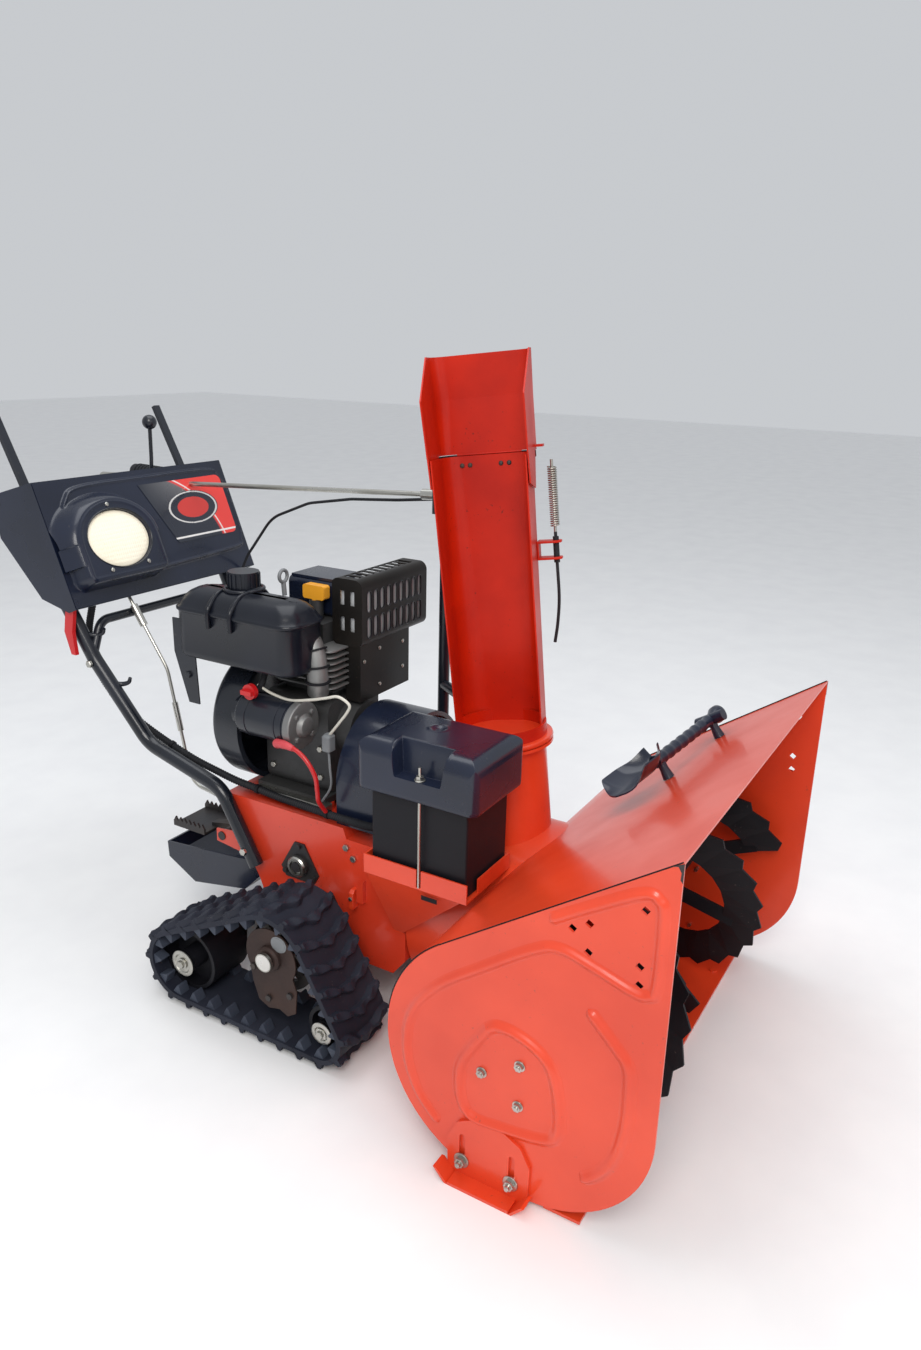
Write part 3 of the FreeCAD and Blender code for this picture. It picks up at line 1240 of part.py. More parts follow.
LOCK_PIVOT = (-236.0, 568.0, 708.0)


def lock_lever():
    """Red lever below the dash on the operator's right."""
    x, y, z = LOCK_PIVOT
    blade = prism([(x - 4, y - 10, z + 8), (x - 4, y + 12, z + 8), (x - 4, y + 26, z - 60),
                   (x - 4, y + 12, z - 104), (x - 4, y, z - 104), (x - 4, y + 4, z - 60)], (8, 0, 0))
    return blade.cut(rod((x - 5, y, z), (x + 5, y, z), 3))


LEAD = [(-208.5, 96, 520), (-216, 45, 522), (-216, 6, 482), (-205, 12, 430), (-182, 14, 397)]


def wiring_harness():
    """Corrugated conduit from the dash along the frame to the battery, and the starter lead."""
    points = [(-176, 585, 690), (-166, 622, 600), (-164, 590, 520), (-164, 500, 464), (-161, 404, 426),
              (-159, 300, 400), (-160, 190, 388), (-166, 90, 386), (-170, 0, 386), (-172, -70, 388),
              (-172, -122, 400)]
    conduit = bent_bar(points, [60, 60, 100, 150, 200, 260, 300, 300, 200], 7)
    lead = bent_bar(LEAD, [16, 20, 20], 4)
    return Part.makeCompound([conduit, lead])


TOOL_START = (-20.0, -478.0, 496.0)
TOOL_END = (350.0, -536.0, 535.0)


def cleanout_tool():
    """Plastic clean-out shovel with its clip on top of the housing."""
    a = V(*TOOL_START)
    b = V(*TOOL_END)
    way = (b - a).normalize()
    handle = Part.makeCylinder(11, (b - a).Length - 90, a + way * 90, way)
    up = V(0, 0.568, 0.823)
    side = up.cross(way).normalize()
    blade_points = [a + side * 44, a + way * 90 + side * 30, a + way * 120 + side * 12,
                    a + way * 120 - side * 12, a + way * 90 - side * 30, a - side * 44]
    blade = prism([tuple(p) for p in blade_points], tuple(up * 6))
    feet = []
    for share in (0.34, 0.9):
        p = a + way * ((b - a).Length * share)
        depth = (p - V(0, MOUTH_Y, TOP_Z)).dot(tangent_normal()) - 0.2
        feet.append(Part.makeCylinder(9, depth, p, tangent_normal() * -1))
    knob = Part.makeSphere(17, b)
    return fuse([handle, blade, knob] + feet)


def tangent_normal():
    """The outward normal of the sloping housing top."""
    _, _, angle = tangent_point(DRUM_R)
    return V(0, math.cos(angle), math.sin(angle))


# ---------------------------------------------------------------- assembly
def build():
    """Every node's shape by name."""
    rake = auger_rake()
    shoe = skid_shoe()
    rear_wheel = road_wheel(REAR, 26, 22)
    front_wheel = road_wheel(FRONT, 18, 18)
    lever = clutch_lever()
    return {
        "auger_housing": auger_housing(),
        "scraper_blade": scraper_blade(),
        "skid_shoe_right": shoe,
        "skid_shoe_left": mirrored(shoe),
        "housing_bolts": housing_bolts(),
        "auger_rake_right": rake,
        "auger_rake_left": mirrored(rake),
        "auger_shaft": auger_shaft(),
        "auger_gearbox": auger_gearbox(),
        "impeller_shaft": impeller_shaft(),
        "impeller": impeller(),
        "discharge_chute": discharge_chute(),
        "chute_deflector": chute_deflector(),
        "deflector_spring": deflector_spring(),
        "chute_pedestal": chute_pedestal(),
        "chute_control_rod": chute_control_rod(),
        "deflector_cable": deflector_cable(),
        "main_frame": main_frame(),
        "flange_bearings": flange_bearings(),
        "friction_wheel": friction_wheel(),
        "drive_axle": drive_axle(),
        "track_frames": track_frames(),
        "track_belt_right": track_belt(-1),
        "track_belt_left": track_belt(1),
        "drive_sprockets": drive_sprockets(),
        "rear_idler_right": rear_wheel,
        "rear_idler_left": mirrored(rear_wheel),
        "front_idler_right": front_wheel,
        "front_idler_left": mirrored(front_wheel),
        "rear_guard": rear_guard(),
        "track_pedal": track_pedal(),
        "engine_block": engine_block(),
        "blower_housing": blower_housing(),
        "fuel_tank": fuel_tank(),
        "fuel_cap": fuel_cap(),
        "muffler": muffler(),
        "muffler_guard": muffler_guard(),
        "starter_motor": starter_motor(),
        "dipstick": dipstick(),
        "fuel_valve": fuel_valve(),
        "carburettor_cover": carburettor_cover(),
        "belt_cover": belt_cover(),
        "engine_pulley": engine_pulley(),
        "impeller_pulley": impeller_pulley(),
        "auger_belt": auger_belt(),
        "battery": battery(),
        "battery_cover": battery_cover(),
        "battery_tray": battery_tray(),
        "battery_hold_down": battery_hold_down(),
        "handlebar": handlebar(),
        "hand_grips": hand_grips(),
        "dash_panel": dash_panel(),
        "headlight_lens": headlight_lens(),
        "clutch_lever_right": lever,
        "clutch_lever_left": mirrored(lever),
        "speed_lever": speed_lever(),
        "clutch_rod": clutch_rod(),
        "lock_lever": lock_lever(),
        "wiring_harness": wiring_harness(),
        "cleanout_tool": cleanout_tool(),
    }


def main():
    """Build, move to the middle and write every node."""
    os.makedirs("parts", exist_ok=True)
    low = [1e9] * 3
    high = [-1e9] * 3
    for name, shape in build().items():
        shape.translate(V(0, -MIDDLE_Y, 0))
        bounds = shape.BoundBox
        low = [min(a, b) for a, b in zip(low, (bounds.XMin, bounds.YMin, bounds.ZMin))]
        high = [max(a, b) for a, b in zip(high, (bounds.XMax, bounds.YMax, bounds.ZMax))]
        print(f"{name:22s} solids {len(shape.Solids):3d} valid {shape.isValid()} "
              f"volume {shape.Volume / 1000:9.1f} cm3")
        shape.exportStep(f"parts/{name}.step")
    print("box", [round(v, 1) for v in low], [round(v, 1) for v in high])


main()
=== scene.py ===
import math
import bpy
import numpy as np
from mathutils import Matrix


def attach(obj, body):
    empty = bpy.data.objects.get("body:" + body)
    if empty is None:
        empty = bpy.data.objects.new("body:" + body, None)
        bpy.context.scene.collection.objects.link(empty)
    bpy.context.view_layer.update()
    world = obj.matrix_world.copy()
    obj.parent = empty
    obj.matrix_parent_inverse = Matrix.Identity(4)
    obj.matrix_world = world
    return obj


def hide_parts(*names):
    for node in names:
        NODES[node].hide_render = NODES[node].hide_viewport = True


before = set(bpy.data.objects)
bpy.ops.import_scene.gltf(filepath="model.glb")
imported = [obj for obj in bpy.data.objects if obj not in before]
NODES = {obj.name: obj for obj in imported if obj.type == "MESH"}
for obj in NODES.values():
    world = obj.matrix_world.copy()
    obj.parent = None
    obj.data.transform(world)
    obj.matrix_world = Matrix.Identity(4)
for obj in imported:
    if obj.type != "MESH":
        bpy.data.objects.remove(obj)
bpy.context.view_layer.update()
MIDDLE_Y = 118.8
TAU = 2 * math.pi


def mm(points):
    """Millimetres about the shop datum as metres in the row frame."""
    return (np.asarray(points, float) - (0, MIDDLE_Y, 0)) / 1000


# ---------------------------------------------------------------- materials
def socket_group(name, inputs, outputs):
    """An empty shader group with the given (name, type, value) sockets."""
    tree = bpy.data.node_groups.new(name, "ShaderNodeTree")
    for label, kind, value in inputs:
        socket = tree.interface.new_socket(label, in_out="INPUT", socket_type="NodeSocket" + kind)
        if value is not None:
            socket.default_value = value
    for label, kind in outputs:
        tree.interface.new_socket(label, in_out="OUTPUT", socket_type="NodeSocket" + kind)
    return tree, tree.nodes.new("NodeGroupInput"), tree.nodes.new("NodeGroupOutput")


def noise(tree, scale, detail, source):
    """A noise texture fed by a vector socket."""
    node = tree.nodes.new("ShaderNodeTexNoise")
    node.inputs["Scale"].default_value = scale
    node.inputs["Detail"].default_value = detail
    tree.links.new(source, node.inputs["Vector"])
    return node


def remap(tree, value, low, high, to_low, to_high):
    """A clamped linear map of a value."""
    node = tree.nodes.new("ShaderNodeMapRange")
    for label, number in (("From Min", low), ("From Max", high), ("To Min", to_low), ("To Max", to_high)):
        node.inputs[label].default_value = number
    tree.links.new(value, node.inputs["Value"])
    return node.outputs["Result"]


def mix(tree, factor, first, second):
    """A colour mix of two sockets or colours."""
    node = tree.nodes.new("ShaderNodeMix")
    node.data_type = "RGBA"
    tree.links.new(factor, node.inputs["Factor"])
    for label, value in ((6, first), (7, second)):
        if isinstance(value, bpy.types.NodeSocket):
            tree.links.new(value, node.inputs[label])
        else:
            node.inputs[label].default_value = value
    return node.outputs[2]


def product(tree, first, second):
    """One value times another."""
    node = tree.nodes.new("ShaderNodeMath")
    node.operation = "MULTIPLY"
    tree.links.new(first, node.inputs[0])
    tree.links.new(second, node.inputs[1])
    return node.outputs[0]


def mottle_group():
    """Uneven colour: base fades to shade in broad clouds, with small specks inside patches."""
    tree, start, end = socket_group("mottle", [
        ("Vector", "Vector", None), ("Base", "Color", (1, 1, 1, 1)), ("Shade", "Color", (0, 0, 0, 1)),
        ("Speck", "Color", (0, 0, 0, 1)), ("Specks", "Float", 0.0)], [("Color", "Color"), ("Mask", "Float")])
    vector = start.outputs["Vector"]
    cloud = noise(tree, 7.0, 5.0, vector)
    broad = remap(tree, cloud.outputs["Fac"], 0.35, 0.7, 0.0, 1.0)
    fine = noise(tree, 160.0, 3.0, vector)
    spots = remap(tree, fine.outputs["Fac"], 0.66, 0.72, 0.0, 1.0)
    where = noise(tree, 11.0, 2.0, vector)
    patch = remap(tree, where.outputs["Fac"], 0.5, 0.62, 0.0, 1.0)
    share = product(tree, product(tree, spots, patch), start.outputs["Specks"])
    colour = mix(tree, broad, start.outputs["Base"], start.outputs["Shade"])
    colour = mix(tree, share, colour, start.outputs["Speck"])
    tree.links.new(colour, end.inputs["Color"])
    tree.links.new(cloud.outputs["Fac"], end.inputs["Mask"])
    return tree


def grain_group():
    """Small surface relief as a normal."""
    tree, start, end = socket_group("grain", [
        ("Vector", "Vector", None), ("Scale", "Float", 300.0), ("Strength", "Float", 0.1)], [("Normal", "Vector")])
    node = noise(tree, 300.0, 3.0, start.outputs["Vector"])
    tree.links.new(start.outputs["Scale"], node.inputs["Scale"])
    bump = tree.nodes.new("ShaderNodeBump")
    bump.inputs["Distance"].default_value = 0.0006
    tree.links.new(start.outputs["Strength"], bump.inputs["Strength"])
    tree.links.new(node.outputs["Fac"], bump.inputs["Height"])
    tree.links.new(bump.outputs["Normal"], end.inputs["Normal"])
    return tree


MOTTLE = mottle_group()
GRAIN = grain_group()


def finish(name, base, shade, rough, metallic=0.0, coat=0.0, speck=None, specks=0.0, grain=(300, 0.1), tint=False,
           specular=0.5):
    """A material with uneven colour and gloss and a fine relief."""
    material = bpy.data.materials.new(name)
    material.use_nodes = True
    tree = material.node_tree
    shader = tree.nodes["Principled BSDF"]
    place = tree.nodes.new("ShaderNodeTexCoord").outputs["Object"]
    colour = tree.nodes.new("ShaderNodeGroup")
    colour.node_tree = MOTTLE
    tree.links.new(place, colour.inputs["Vector"])
    colour.inputs["Base"].default_value = (*base, 1)
    colour.inputs["Shade"].default_value = (*shade, 1)
    colour.inputs["Speck"].default_value = (*(speck or shade), 1)
    colour.inputs["Specks"].default_value = specks
    out = colour.outputs["Color"]
    if tint:
        attribute = tree.nodes.new("ShaderNodeAttribute")
        attribute.attribute_name = "tint"
        blend = tree.nodes.new("ShaderNodeMix")
        blend.data_type = "RGBA"
        blend.blend_type = "MULTIPLY"
        blend.inputs["Factor"].default_value = 1.0
        tree.links.new(attribute.outputs["Color"], blend.inputs[6])
        tree.links.new(out, blend.inputs[7])
        out = blend.outputs[2]
    tree.links.new(out, shader.inputs["Base Color"])
    tree.links.new(remap(tree, colour.outputs["Mask"], 0.3, 0.7, rough[0], rough[1]), shader.inputs["Roughness"])
    relief = tree.nodes.new("ShaderNodeGroup")
    relief.node_tree = GRAIN
    tree.links.new(place, relief.inputs["Vector"])
    relief.inputs["Scale"].default_value = grain[0]
    relief.inputs["Strength"].default_value = grain[1]
    tree.links.new(relief.outputs["Normal"], shader.inputs["Normal"])
    shader.inputs["Metallic"].default_value = metallic
    shader.inputs["Specular IOR Level"].default_value = specular
    shader.inputs["Coat Weight"].default_value = coat
    shader.inputs["Coat Roughness"].default_value = 0.12
    return material


CORAL = finish("coral_paint", (0.76, 0.060, 0.016), (0.66, 0.045, 0.011), (0.28, 0.42), coat=0.35,
               speck=(0.10, 0.05, 0.04), specks=0.35, grain=(90, 0.05))
# A darker copy of the coral paint: painted shade for the chute, its deflector and the parts inside the housing. Its
# dark specks are scuffs.
PAINTED_SHADE_RED = finish("red_paint_with_painted_shade", (0.58, 0.018, 0.002), (0.40, 0.009, 0.001), (0.34, 0.50), coat=0.08, specular=0.25,
              speck=(0.10, 0.01, 0.006), specks=0.8, grain=(110, 0.06))
FRAME_RED = finish("frame_red_paint", (0.72, 0.05, 0.018), (0.62, 0.04, 0.013), (0.28, 0.42), coat=0.35,
                   speck=(0.12, 0.03, 0.02), specks=0.5, grain=(100, 0.05))
BLACK = finish("black_enamel", (0.007, 0.009, 0.014), (0.012, 0.015, 0.024), (0.20, 0.38), coat=0.25,
               speck=(0.08, 0.07, 0.06), specks=0.3, grain=(160, 0.05), specular=0.4)
MATT_BLACK = finish("matt_black_steel", (0.006, 0.006, 0.008), (0.014, 0.014, 0.017), (0.45, 0.65),
                    speck=(0.16, 0.13, 0.11), specks=0.4, grain=(120, 0.12), specular=0.2)
NAVY = finish("navy_moulding", (0.0055, 0.0090, 0.022), (0.009, 0.014, 0.034), (0.22, 0.36), coat=0.3,
              speck=(0.05, 0.05, 0.06), specks=0.4, grain=(420, 0.22), specular=0.4)
TANK_BLACK = finish("tank_moulding", (0.0055, 0.007, 0.012), (0.009, 0.011, 0.019), (0.26, 0.40), coat=0.1,
                    grain=(380, 0.14), specular=0.35)
BATTERY_CASE = finish("battery_case", (0.006, 0.006, 0.009), (0.010, 0.010, 0.013), (0.42, 0.6),
                      grain=(500, 0.2), specular=0.25)
RUBBER = finish("track_rubber", (0.014, 0.016, 0.026), (0.03, 0.034, 0.05), (0.50, 0.72),
                speck=(0.10, 0.09, 0.08), specks=0.6, grain=(150, 0.5), specular=0.2)
# A paler, bluer copy of the rubber: painted highlight on the belt's guide lugs.
RUBBER_PAINTED_HIGHLIGHT = finish("rubber_painted_highlight", (0.050, 0.060, 0.085), (0.030, 0.036, 0.055), (0.55, 0.75),
                     grain=(150, 0.4), specular=0.3)
GRIP = finish("grip_rubber", (0.012, 0.013, 0.016), (0.02, 0.021, 0.025), (0.55, 0.7), grain=(300, 0.4), specular=0.25)
ZINC = finish("zinc_plate", (0.55, 0.54, 0.50), (0.36, 0.35, 0.31), (0.24, 0.45), metallic=1.0,
              speck=(0.22, 0.16, 0.10), specks=0.5, grain=(260, 0.15))
BRIGHT = finish("bright_steel", (0.80, 0.79, 0.76), (0.62, 0.60, 0.56), (0.18, 0.36), metallic=1.0, grain=(200, 0.1))
CAN_STEEL = finish("muffler_steel", (0.74, 0.75, 0.76), (0.58, 0.59, 0.61), (0.26, 0.42), metallic=0.35,
                   speck=(0.30, 0.24, 0.18), specks=0.5, grain=(200, 0.1))
ALLOY = finish("cast_alloy", (0.36, 0.36, 0.35), (0.20, 0.20, 0.20), (0.38, 0.58), metallic=0.8,
               speck=(0.05, 0.05, 0.05), specks=0.6, grain=(140, 0.5))
DARK_ALLOY = finish("engine_casting", (0.085, 0.085, 0.085), (0.045, 0.045, 0.047), (0.42, 0.62), metallic=0.5,
                    speck=(0.02, 0.02, 0.02), specks=0.5, grain=(130, 0.5), specular=0.3)
IRON = finish("dark_iron", (0.045, 0.045, 0.050), (0.075, 0.06, 0.05), (0.40, 0.62), metallic=0.6,
              speck=(0.13, 0.06, 0.03), specks=0.7, grain=(140, 0.5))
RUST = finish("brown_steel", (0.060, 0.032, 0.024), (0.030, 0.022, 0.022), (0.45, 0.7), metallic=0.3,
              speck=(0.14, 0.06, 0.03), specks=0.8, grain=(120, 0.5), specular=0.3)
SHIELD = finish("heat_shield", (0.010, 0.010, 0.011), (0.022, 0.018, 0.015), (0.32, 0.5), metallic=0.5,
                speck=(0.09, 0.06, 0.04), specks=0.5, grain=(110, 0.2), specular=0.3)
RED = finish("red_moulding", (0.62, 0.012, 0.015), (0.48, 0.008, 0.010), (0.24, 0.4), coat=0.2, grain=(300, 0.1))
PINK = finish("faded_red_rubber", (0.72, 0.11, 0.13), (0.55, 0.05, 0.06), (0.35, 0.55), grain=(260, 0.2))
YELLOW = finish("yellow_moulding", (0.90, 0.42, 0.03), (0.82, 0.34, 0.02), (0.26, 0.4), coat=0.2, grain=(300, 0.1))
WHITE = finish("pale_hose", (0.70, 0.68, 0.60), (0.52, 0.50, 0.44), (0.35, 0.5), grain=(200, 0.1))
GREY = finish("grey_moulding", (0.22, 0.23, 0.24), (0.14, 0.15, 0.16), (0.4, 0.55), grain=(300, 0.2))
DECAL = finish("panel_design", (0.98, 0.98, 0.98), (0.86, 0.86, 0.86), (0.22, 0.34), coat=0.4, grain=(200, 0.03),
               tint=True)


def lens_material():
    """A cream moulded lens with fine ribs and a weak emission that paints light into it."""
    material = finish("cream_lens", (0.90, 0.82, 0.64), (0.94, 0.88, 0.74), (0.12, 0.22), coat=0.5, grain=(60, 0.1))
    shader = material.node_tree.nodes["Principled BSDF"]
    # Painted light: the emission brightens the lens.
    shader.inputs["Emission Color"].default_value = (1.0, 0.88, 0.62, 1)
    shader.inputs["Emission Strength"].default_value = 0.12
    return material


LENS = lens_material()

CAD_LOOK = {
    "auger_housing": CORAL, "skid_shoe_right": CORAL, "skid_shoe_left": CORAL, "battery_tray": CORAL,
    # The chute parts, the gearbox and the impeller take the red darkened with painted shade.
    "main_frame": FRAME_RED, "discharge_chute": PAINTED_SHADE_RED, "chute_deflector": PAINTED_SHADE_RED, "deflector_spring": PAINTED_SHADE_RED,
    "auger_gearbox": PAINTED_SHADE_RED, "impeller": PAINTED_SHADE_RED, "scraper_blade": CORAL, "housing_bolts": ZINC,
    "auger_rake_right": MATT_BLACK, "auger_rake_left": MATT_BLACK, "auger_shaft": ZINC, "impeller_shaft": ZINC,
    "chute_pedestal": BLACK, "chute_control_rod": ZINC, "deflector_cable": GRIP, "flange_bearings": IRON,
    "friction_wheel": IRON, "drive_axle": ZINC, "track_frames": RUST, "track_belt_right": RUBBER,
    "track_belt_left": RUBBER, "drive_sprockets": IRON, "rear_idler_right": BATTERY_CASE,
    "rear_idler_left": BATTERY_CASE, "front_idler_right": BATTERY_CASE, "front_idler_left": BATTERY_CASE,
    "rear_guard": NAVY, "track_pedal": IRON, "engine_block": DARK_ALLOY, "blower_housing": BLACK,
    "fuel_tank": TANK_BLACK, "fuel_cap": TANK_BLACK, "muffler": BRIGHT, "muffler_guard": SHIELD,
    "starter_motor": BLACK, "dipstick": YELLOW, "fuel_valve": RED, "carburettor_cover": NAVY,
    "belt_cover": NAVY, "engine_pulley": IRON, "impeller_pulley": IRON, "auger_belt": GRIP,
    "battery": BATTERY_CASE, "battery_cover": NAVY, "battery_hold_down": ZINC, "handlebar": BLACK,
    "hand_grips": GRIP, "dash_panel": NAVY, "headlight_lens": LENS, "clutch_lever_right": BLACK,
    "clutch_lever_left": BLACK, "speed_lever": BLACK, "clutch_rod": ZINC, "lock_lever": RED,
    "wiring_harness": GRIP, "cleanout_tool": NAVY,
}
# The CAD nodes on which an edge bevel has any effect.
SOFT_NODES = ("chute_control_rod", "speed_lever")
FINE_EDGE = 0.0008


def soften_edges(thing, width):
    """A two-step bevel of the given width on every edge that turns by more than 40 degrees."""
    edge = thing.modifiers.new("edge_radius", "BEVEL")
    edge.width = width
    edge.segments = 2
    edge.limit_method = "ANGLE"
    edge.angle_limit = math.radians(40)
    return edge


def dress_cad():
    """Gives every CAD node its material through its object slots, and two of them a fine edge radius."""
    for name, node in NODES.items():
        for slot in node.material_slots:
            slot.material = CAD_LOOK[name]
        if name in SOFT_NODES:
            soften_edges(node, FINE_EDGE).harden_normals = True


# ---------------------------------------------------------------- shapes
def grid_faces(rows, columns, wrap_rows=False, wrap_columns=False):
    """Quads over a grid of points numbered row by row."""
    r = np.arange(rows if wrap_rows else rows - 1)
    c = np.arange(columns if wrap_columns else columns - 1)
    r, c = np.meshgrid(r, c, indexing="ij")
    r1, c1 = (r + 1) % rows, (c + 1) % columns
    quads = np.stack([r * columns + c, r * columns + c1, r1 * columns + c1, r1 * columns + c], -1)
    return quads.reshape(-1, 4).tolist()


def turned(faces):
    """The same faces, seen from the other side."""
    return [face[::-1] for face in faces]


def smooth_path(points, count):
    """Points on the Catmull-Rom curve through the given points, a cubic in the share of the way between two."""
    p = np.asarray(points, float)
    p = np.vstack([2 * p[0] - p[1], p, 2 * p[-1] - p[-2]])
    t = np.linspace(0, len(p) - 3 - 1e-9, count)
    k = t.astype(int)
    f = (t - k)[:, None]
    a, b, c, d = p[k], p[k + 1], p[k + 2], p[k + 3]
    return 0.5 * (2 * b + (c - a) * f + (2 * a - 5 * b + 4 * c - d) * f ** 2 + (3 * b - a - 3 * c + d) * f ** 3)


def sweep(path, radius, sides=14):
    """A tube with closed ends: each ring is its path point plus radius times (cos a * side + sin a * other).

    The side direction is carried along the path without twist, and the radius may vary from point to point.
    """
    path = np.asarray(path, float)
    count = len(path)
    radius = np.broadcast_to(np.asarray(radius, float), (count,))
    way = np.gradient(path, axis=0)
    way /= np.linalg.norm(way, axis=1)[:, None]
    side = np.cross(way[0], (0.31, 0.2, 0.93))
    side /= np.linalg.norm(side)
    rings = []
    angle = np.linspace(0, TAU, sides, endpoint=False)[:, None]
    for k in range(count):
        side = side - way[k] * side.dot(way[k])
        side /= np.linalg.norm(side)
        other = np.cross(way[k], side)
        rings.append(path[k] + radius[k] * (np.cos(angle) * side + np.sin(angle) * other))
    points = np.concatenate(rings)
    faces = grid_faces(count, sides, wrap_columns=True)
    faces.append(list(range(sides - 1, -1, -1)))
    faces.append(list(range((count - 1) * sides, count * sides)))
    return points, faces


POLE = 1e-6


def lathe(profile, centre, axis, sides=32):
    """A turned body: each (distance, radius) gives a ring of that radius about centre + axis * distance."""
    axis = np.asarray(axis, float)
    axis /= np.linalg.norm(axis)
    first = np.cross(axis, (0.9, 0.1, 0.42) if abs(axis[0]) < 0.8 else (0.1, 0.9, 0.42))
    first /= np.linalg.norm(first)
    second = np.cross(axis, first)
    angle = np.linspace(0, TAU, sides, endpoint=False)[:, None]
    rings = [np.asarray(centre, float) + axis * a + max(r, POLE) * (np.cos(angle) * first + np.sin(angle) * second)
             for a, r in profile]
    points = np.concatenate(rings)
    faces = grid_faces(len(profile), sides, wrap_columns=True)
    faces.append(list(range(sides - 1, -1, -1)))
    faces.append(list(range((len(profile) - 1) * sides, len(profile) * sides)))
    return points, faces


def slab(outline, thickness):
    """A flat polygon (n, 3) given thickness along a vector."""
    low = np.asarray(outline, float)
    count = len(low)
    points = np.vstack([low, low + thickness])
    faces = [list(range(count - 1, -1, -1)), list(range(count, 2 * count))]
    faces += [[k, (k + 1) % count, count + (k + 1) % count, count + k] for k in range(count)]
    return points, faces


def bead(path, width, height, out):
    """A pressed rib along a path: height * (1 + cos(pi t)) / 2 across, t from -1 to 1, narrowed to a round end."""
    path = np.asarray(path, float)
    out = np.asarray(out, float)
    closed = np.allclose(path[0], path[-1])
    way = np.gradient(path, axis=0)
    if closed:
        way[0] = way[-1] = path[1] - path[-2]
    way /= np.linalg.norm(way, axis=1)[:, None]
    side = np.cross(out, way)
    run = np.concatenate([[0], np.cumsum(np.linalg.norm(np.diff(path, axis=0), axis=1))])
    ends = np.ones(len(path))
    if not closed:
        reach = np.minimum(run, run[-1] - run) / (width / 2)
        ends = np.sqrt(np.clip(1 - (1 - np.clip(reach, 0, 1)) ** 2, 0, 1))
    t = np.linspace(-1, 1, 11)
    rise = 0.5 + 0.5 * np.cos(math.pi * t)
    points = (path[:, None] + side[:, None] * (t[None, :, None] * width / 2 * ends[:, None, None])
              + out * (rise[None, :, None] * height * ends[:, None, None] + 0.00005))
    return points.reshape(-1, 3), grid_faces(len(path), len(t))


def hexagon(centre, axis, radius, height):
    """A hexagon nut or bolt head whose top 12 per cent draws in to nine tenths of its radius."""
    profile = [(0, radius), (height * 0.88, radius), (height, radius * 0.9)]
    return lathe(profile, centre, axis, 6)


def stud_nut(centre, out, washer, nut, stud, sides):
    """A turned washer, a hexagon nut (radius, height) on top of it and a stud end, all about one axis."""
    out = np.array(out)
    seat = centre + out * washer[-1][0]
    return [lathe(washer, centre, out, sides), hexagon(seat, out, *nut), lathe(stud, centre, out, 16)]


def merge(shapes):
    """One list of points and faces out of several shapes."""
    points = []
    faces = []
    base = 0
    for p, f in shapes:
        points.append(p)
        faces += [[base + k for k in face] for face in f]
        base += len(p)
    return np.concatenate(points), faces


def piece(name, shapes, material, body, stands_for=(), sharp=32, tint=None, bevel=0.0):
    """A new visible piece made of shapes, riding on a body."""
    points, faces = merge(shapes)
    mesh = bpy.data.meshes.new(name)
    mesh.from_pydata(points.tolist(), [], faces)
    mesh.update()
    mesh.polygons.foreach_set("use_smooth", [True] * len(mesh.polygons))
    mesh.set_sharp_from_angle(angle=math.radians(sharp))
    if tint is not None:
        layer = mesh.color_attributes.new("tint", "FLOAT_COLOR", "POINT")
        layer.data.foreach_set("color", np.asarray(tint, np.float32).ravel())
    mesh.materials.append(material)
    thing = bpy.data.objects.new(name, mesh)
    bpy.context.scene.collection.objects.link(thing)
    if bevel:
        soften_edges(thing, bevel)
    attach(thing, body)
    if stands_for:
        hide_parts(*stands_for)


# ---------------------------------------------------------------- auger housing
HOUSING_HALF = 406.0
RING_RIB = [(-447, 276), (-418, 228), (-402, 190), (-404, 140), (-424, 113), (-470, 115), (-540, 127),
            (-560, 146), (-561, 186), (-550, 240), (-530, 268), (-496, 284), (-464, 286), (-447, 276)]
FRONT_RIB = [(-592, 368), (-634, 326), (-654, 300), (-658, 252), (-656, 197), (-646, 150), (-626, 112), (-600, 88)]
EDGE_RIB = [(-368, 74), (-329, 119), (-309, 182), (-317, 251), (-360, 313), (-431, 370), (-507, 426), (-547, 443),
            (-598, 432), (-650, 417), (-672, 418), (-681, 436), (-681, 534), (-674, 556), (-654, 559), (-591, 521),
            (-529, 480)]


# Each rib's (y, z) line, width, height and number of stations.
RIBS = ((EDGE_RIB, 21, 6.0, 220), (RING_RIB, 24, 7.0, 130), (FRONT_RIB, 24, 7.0, 80))


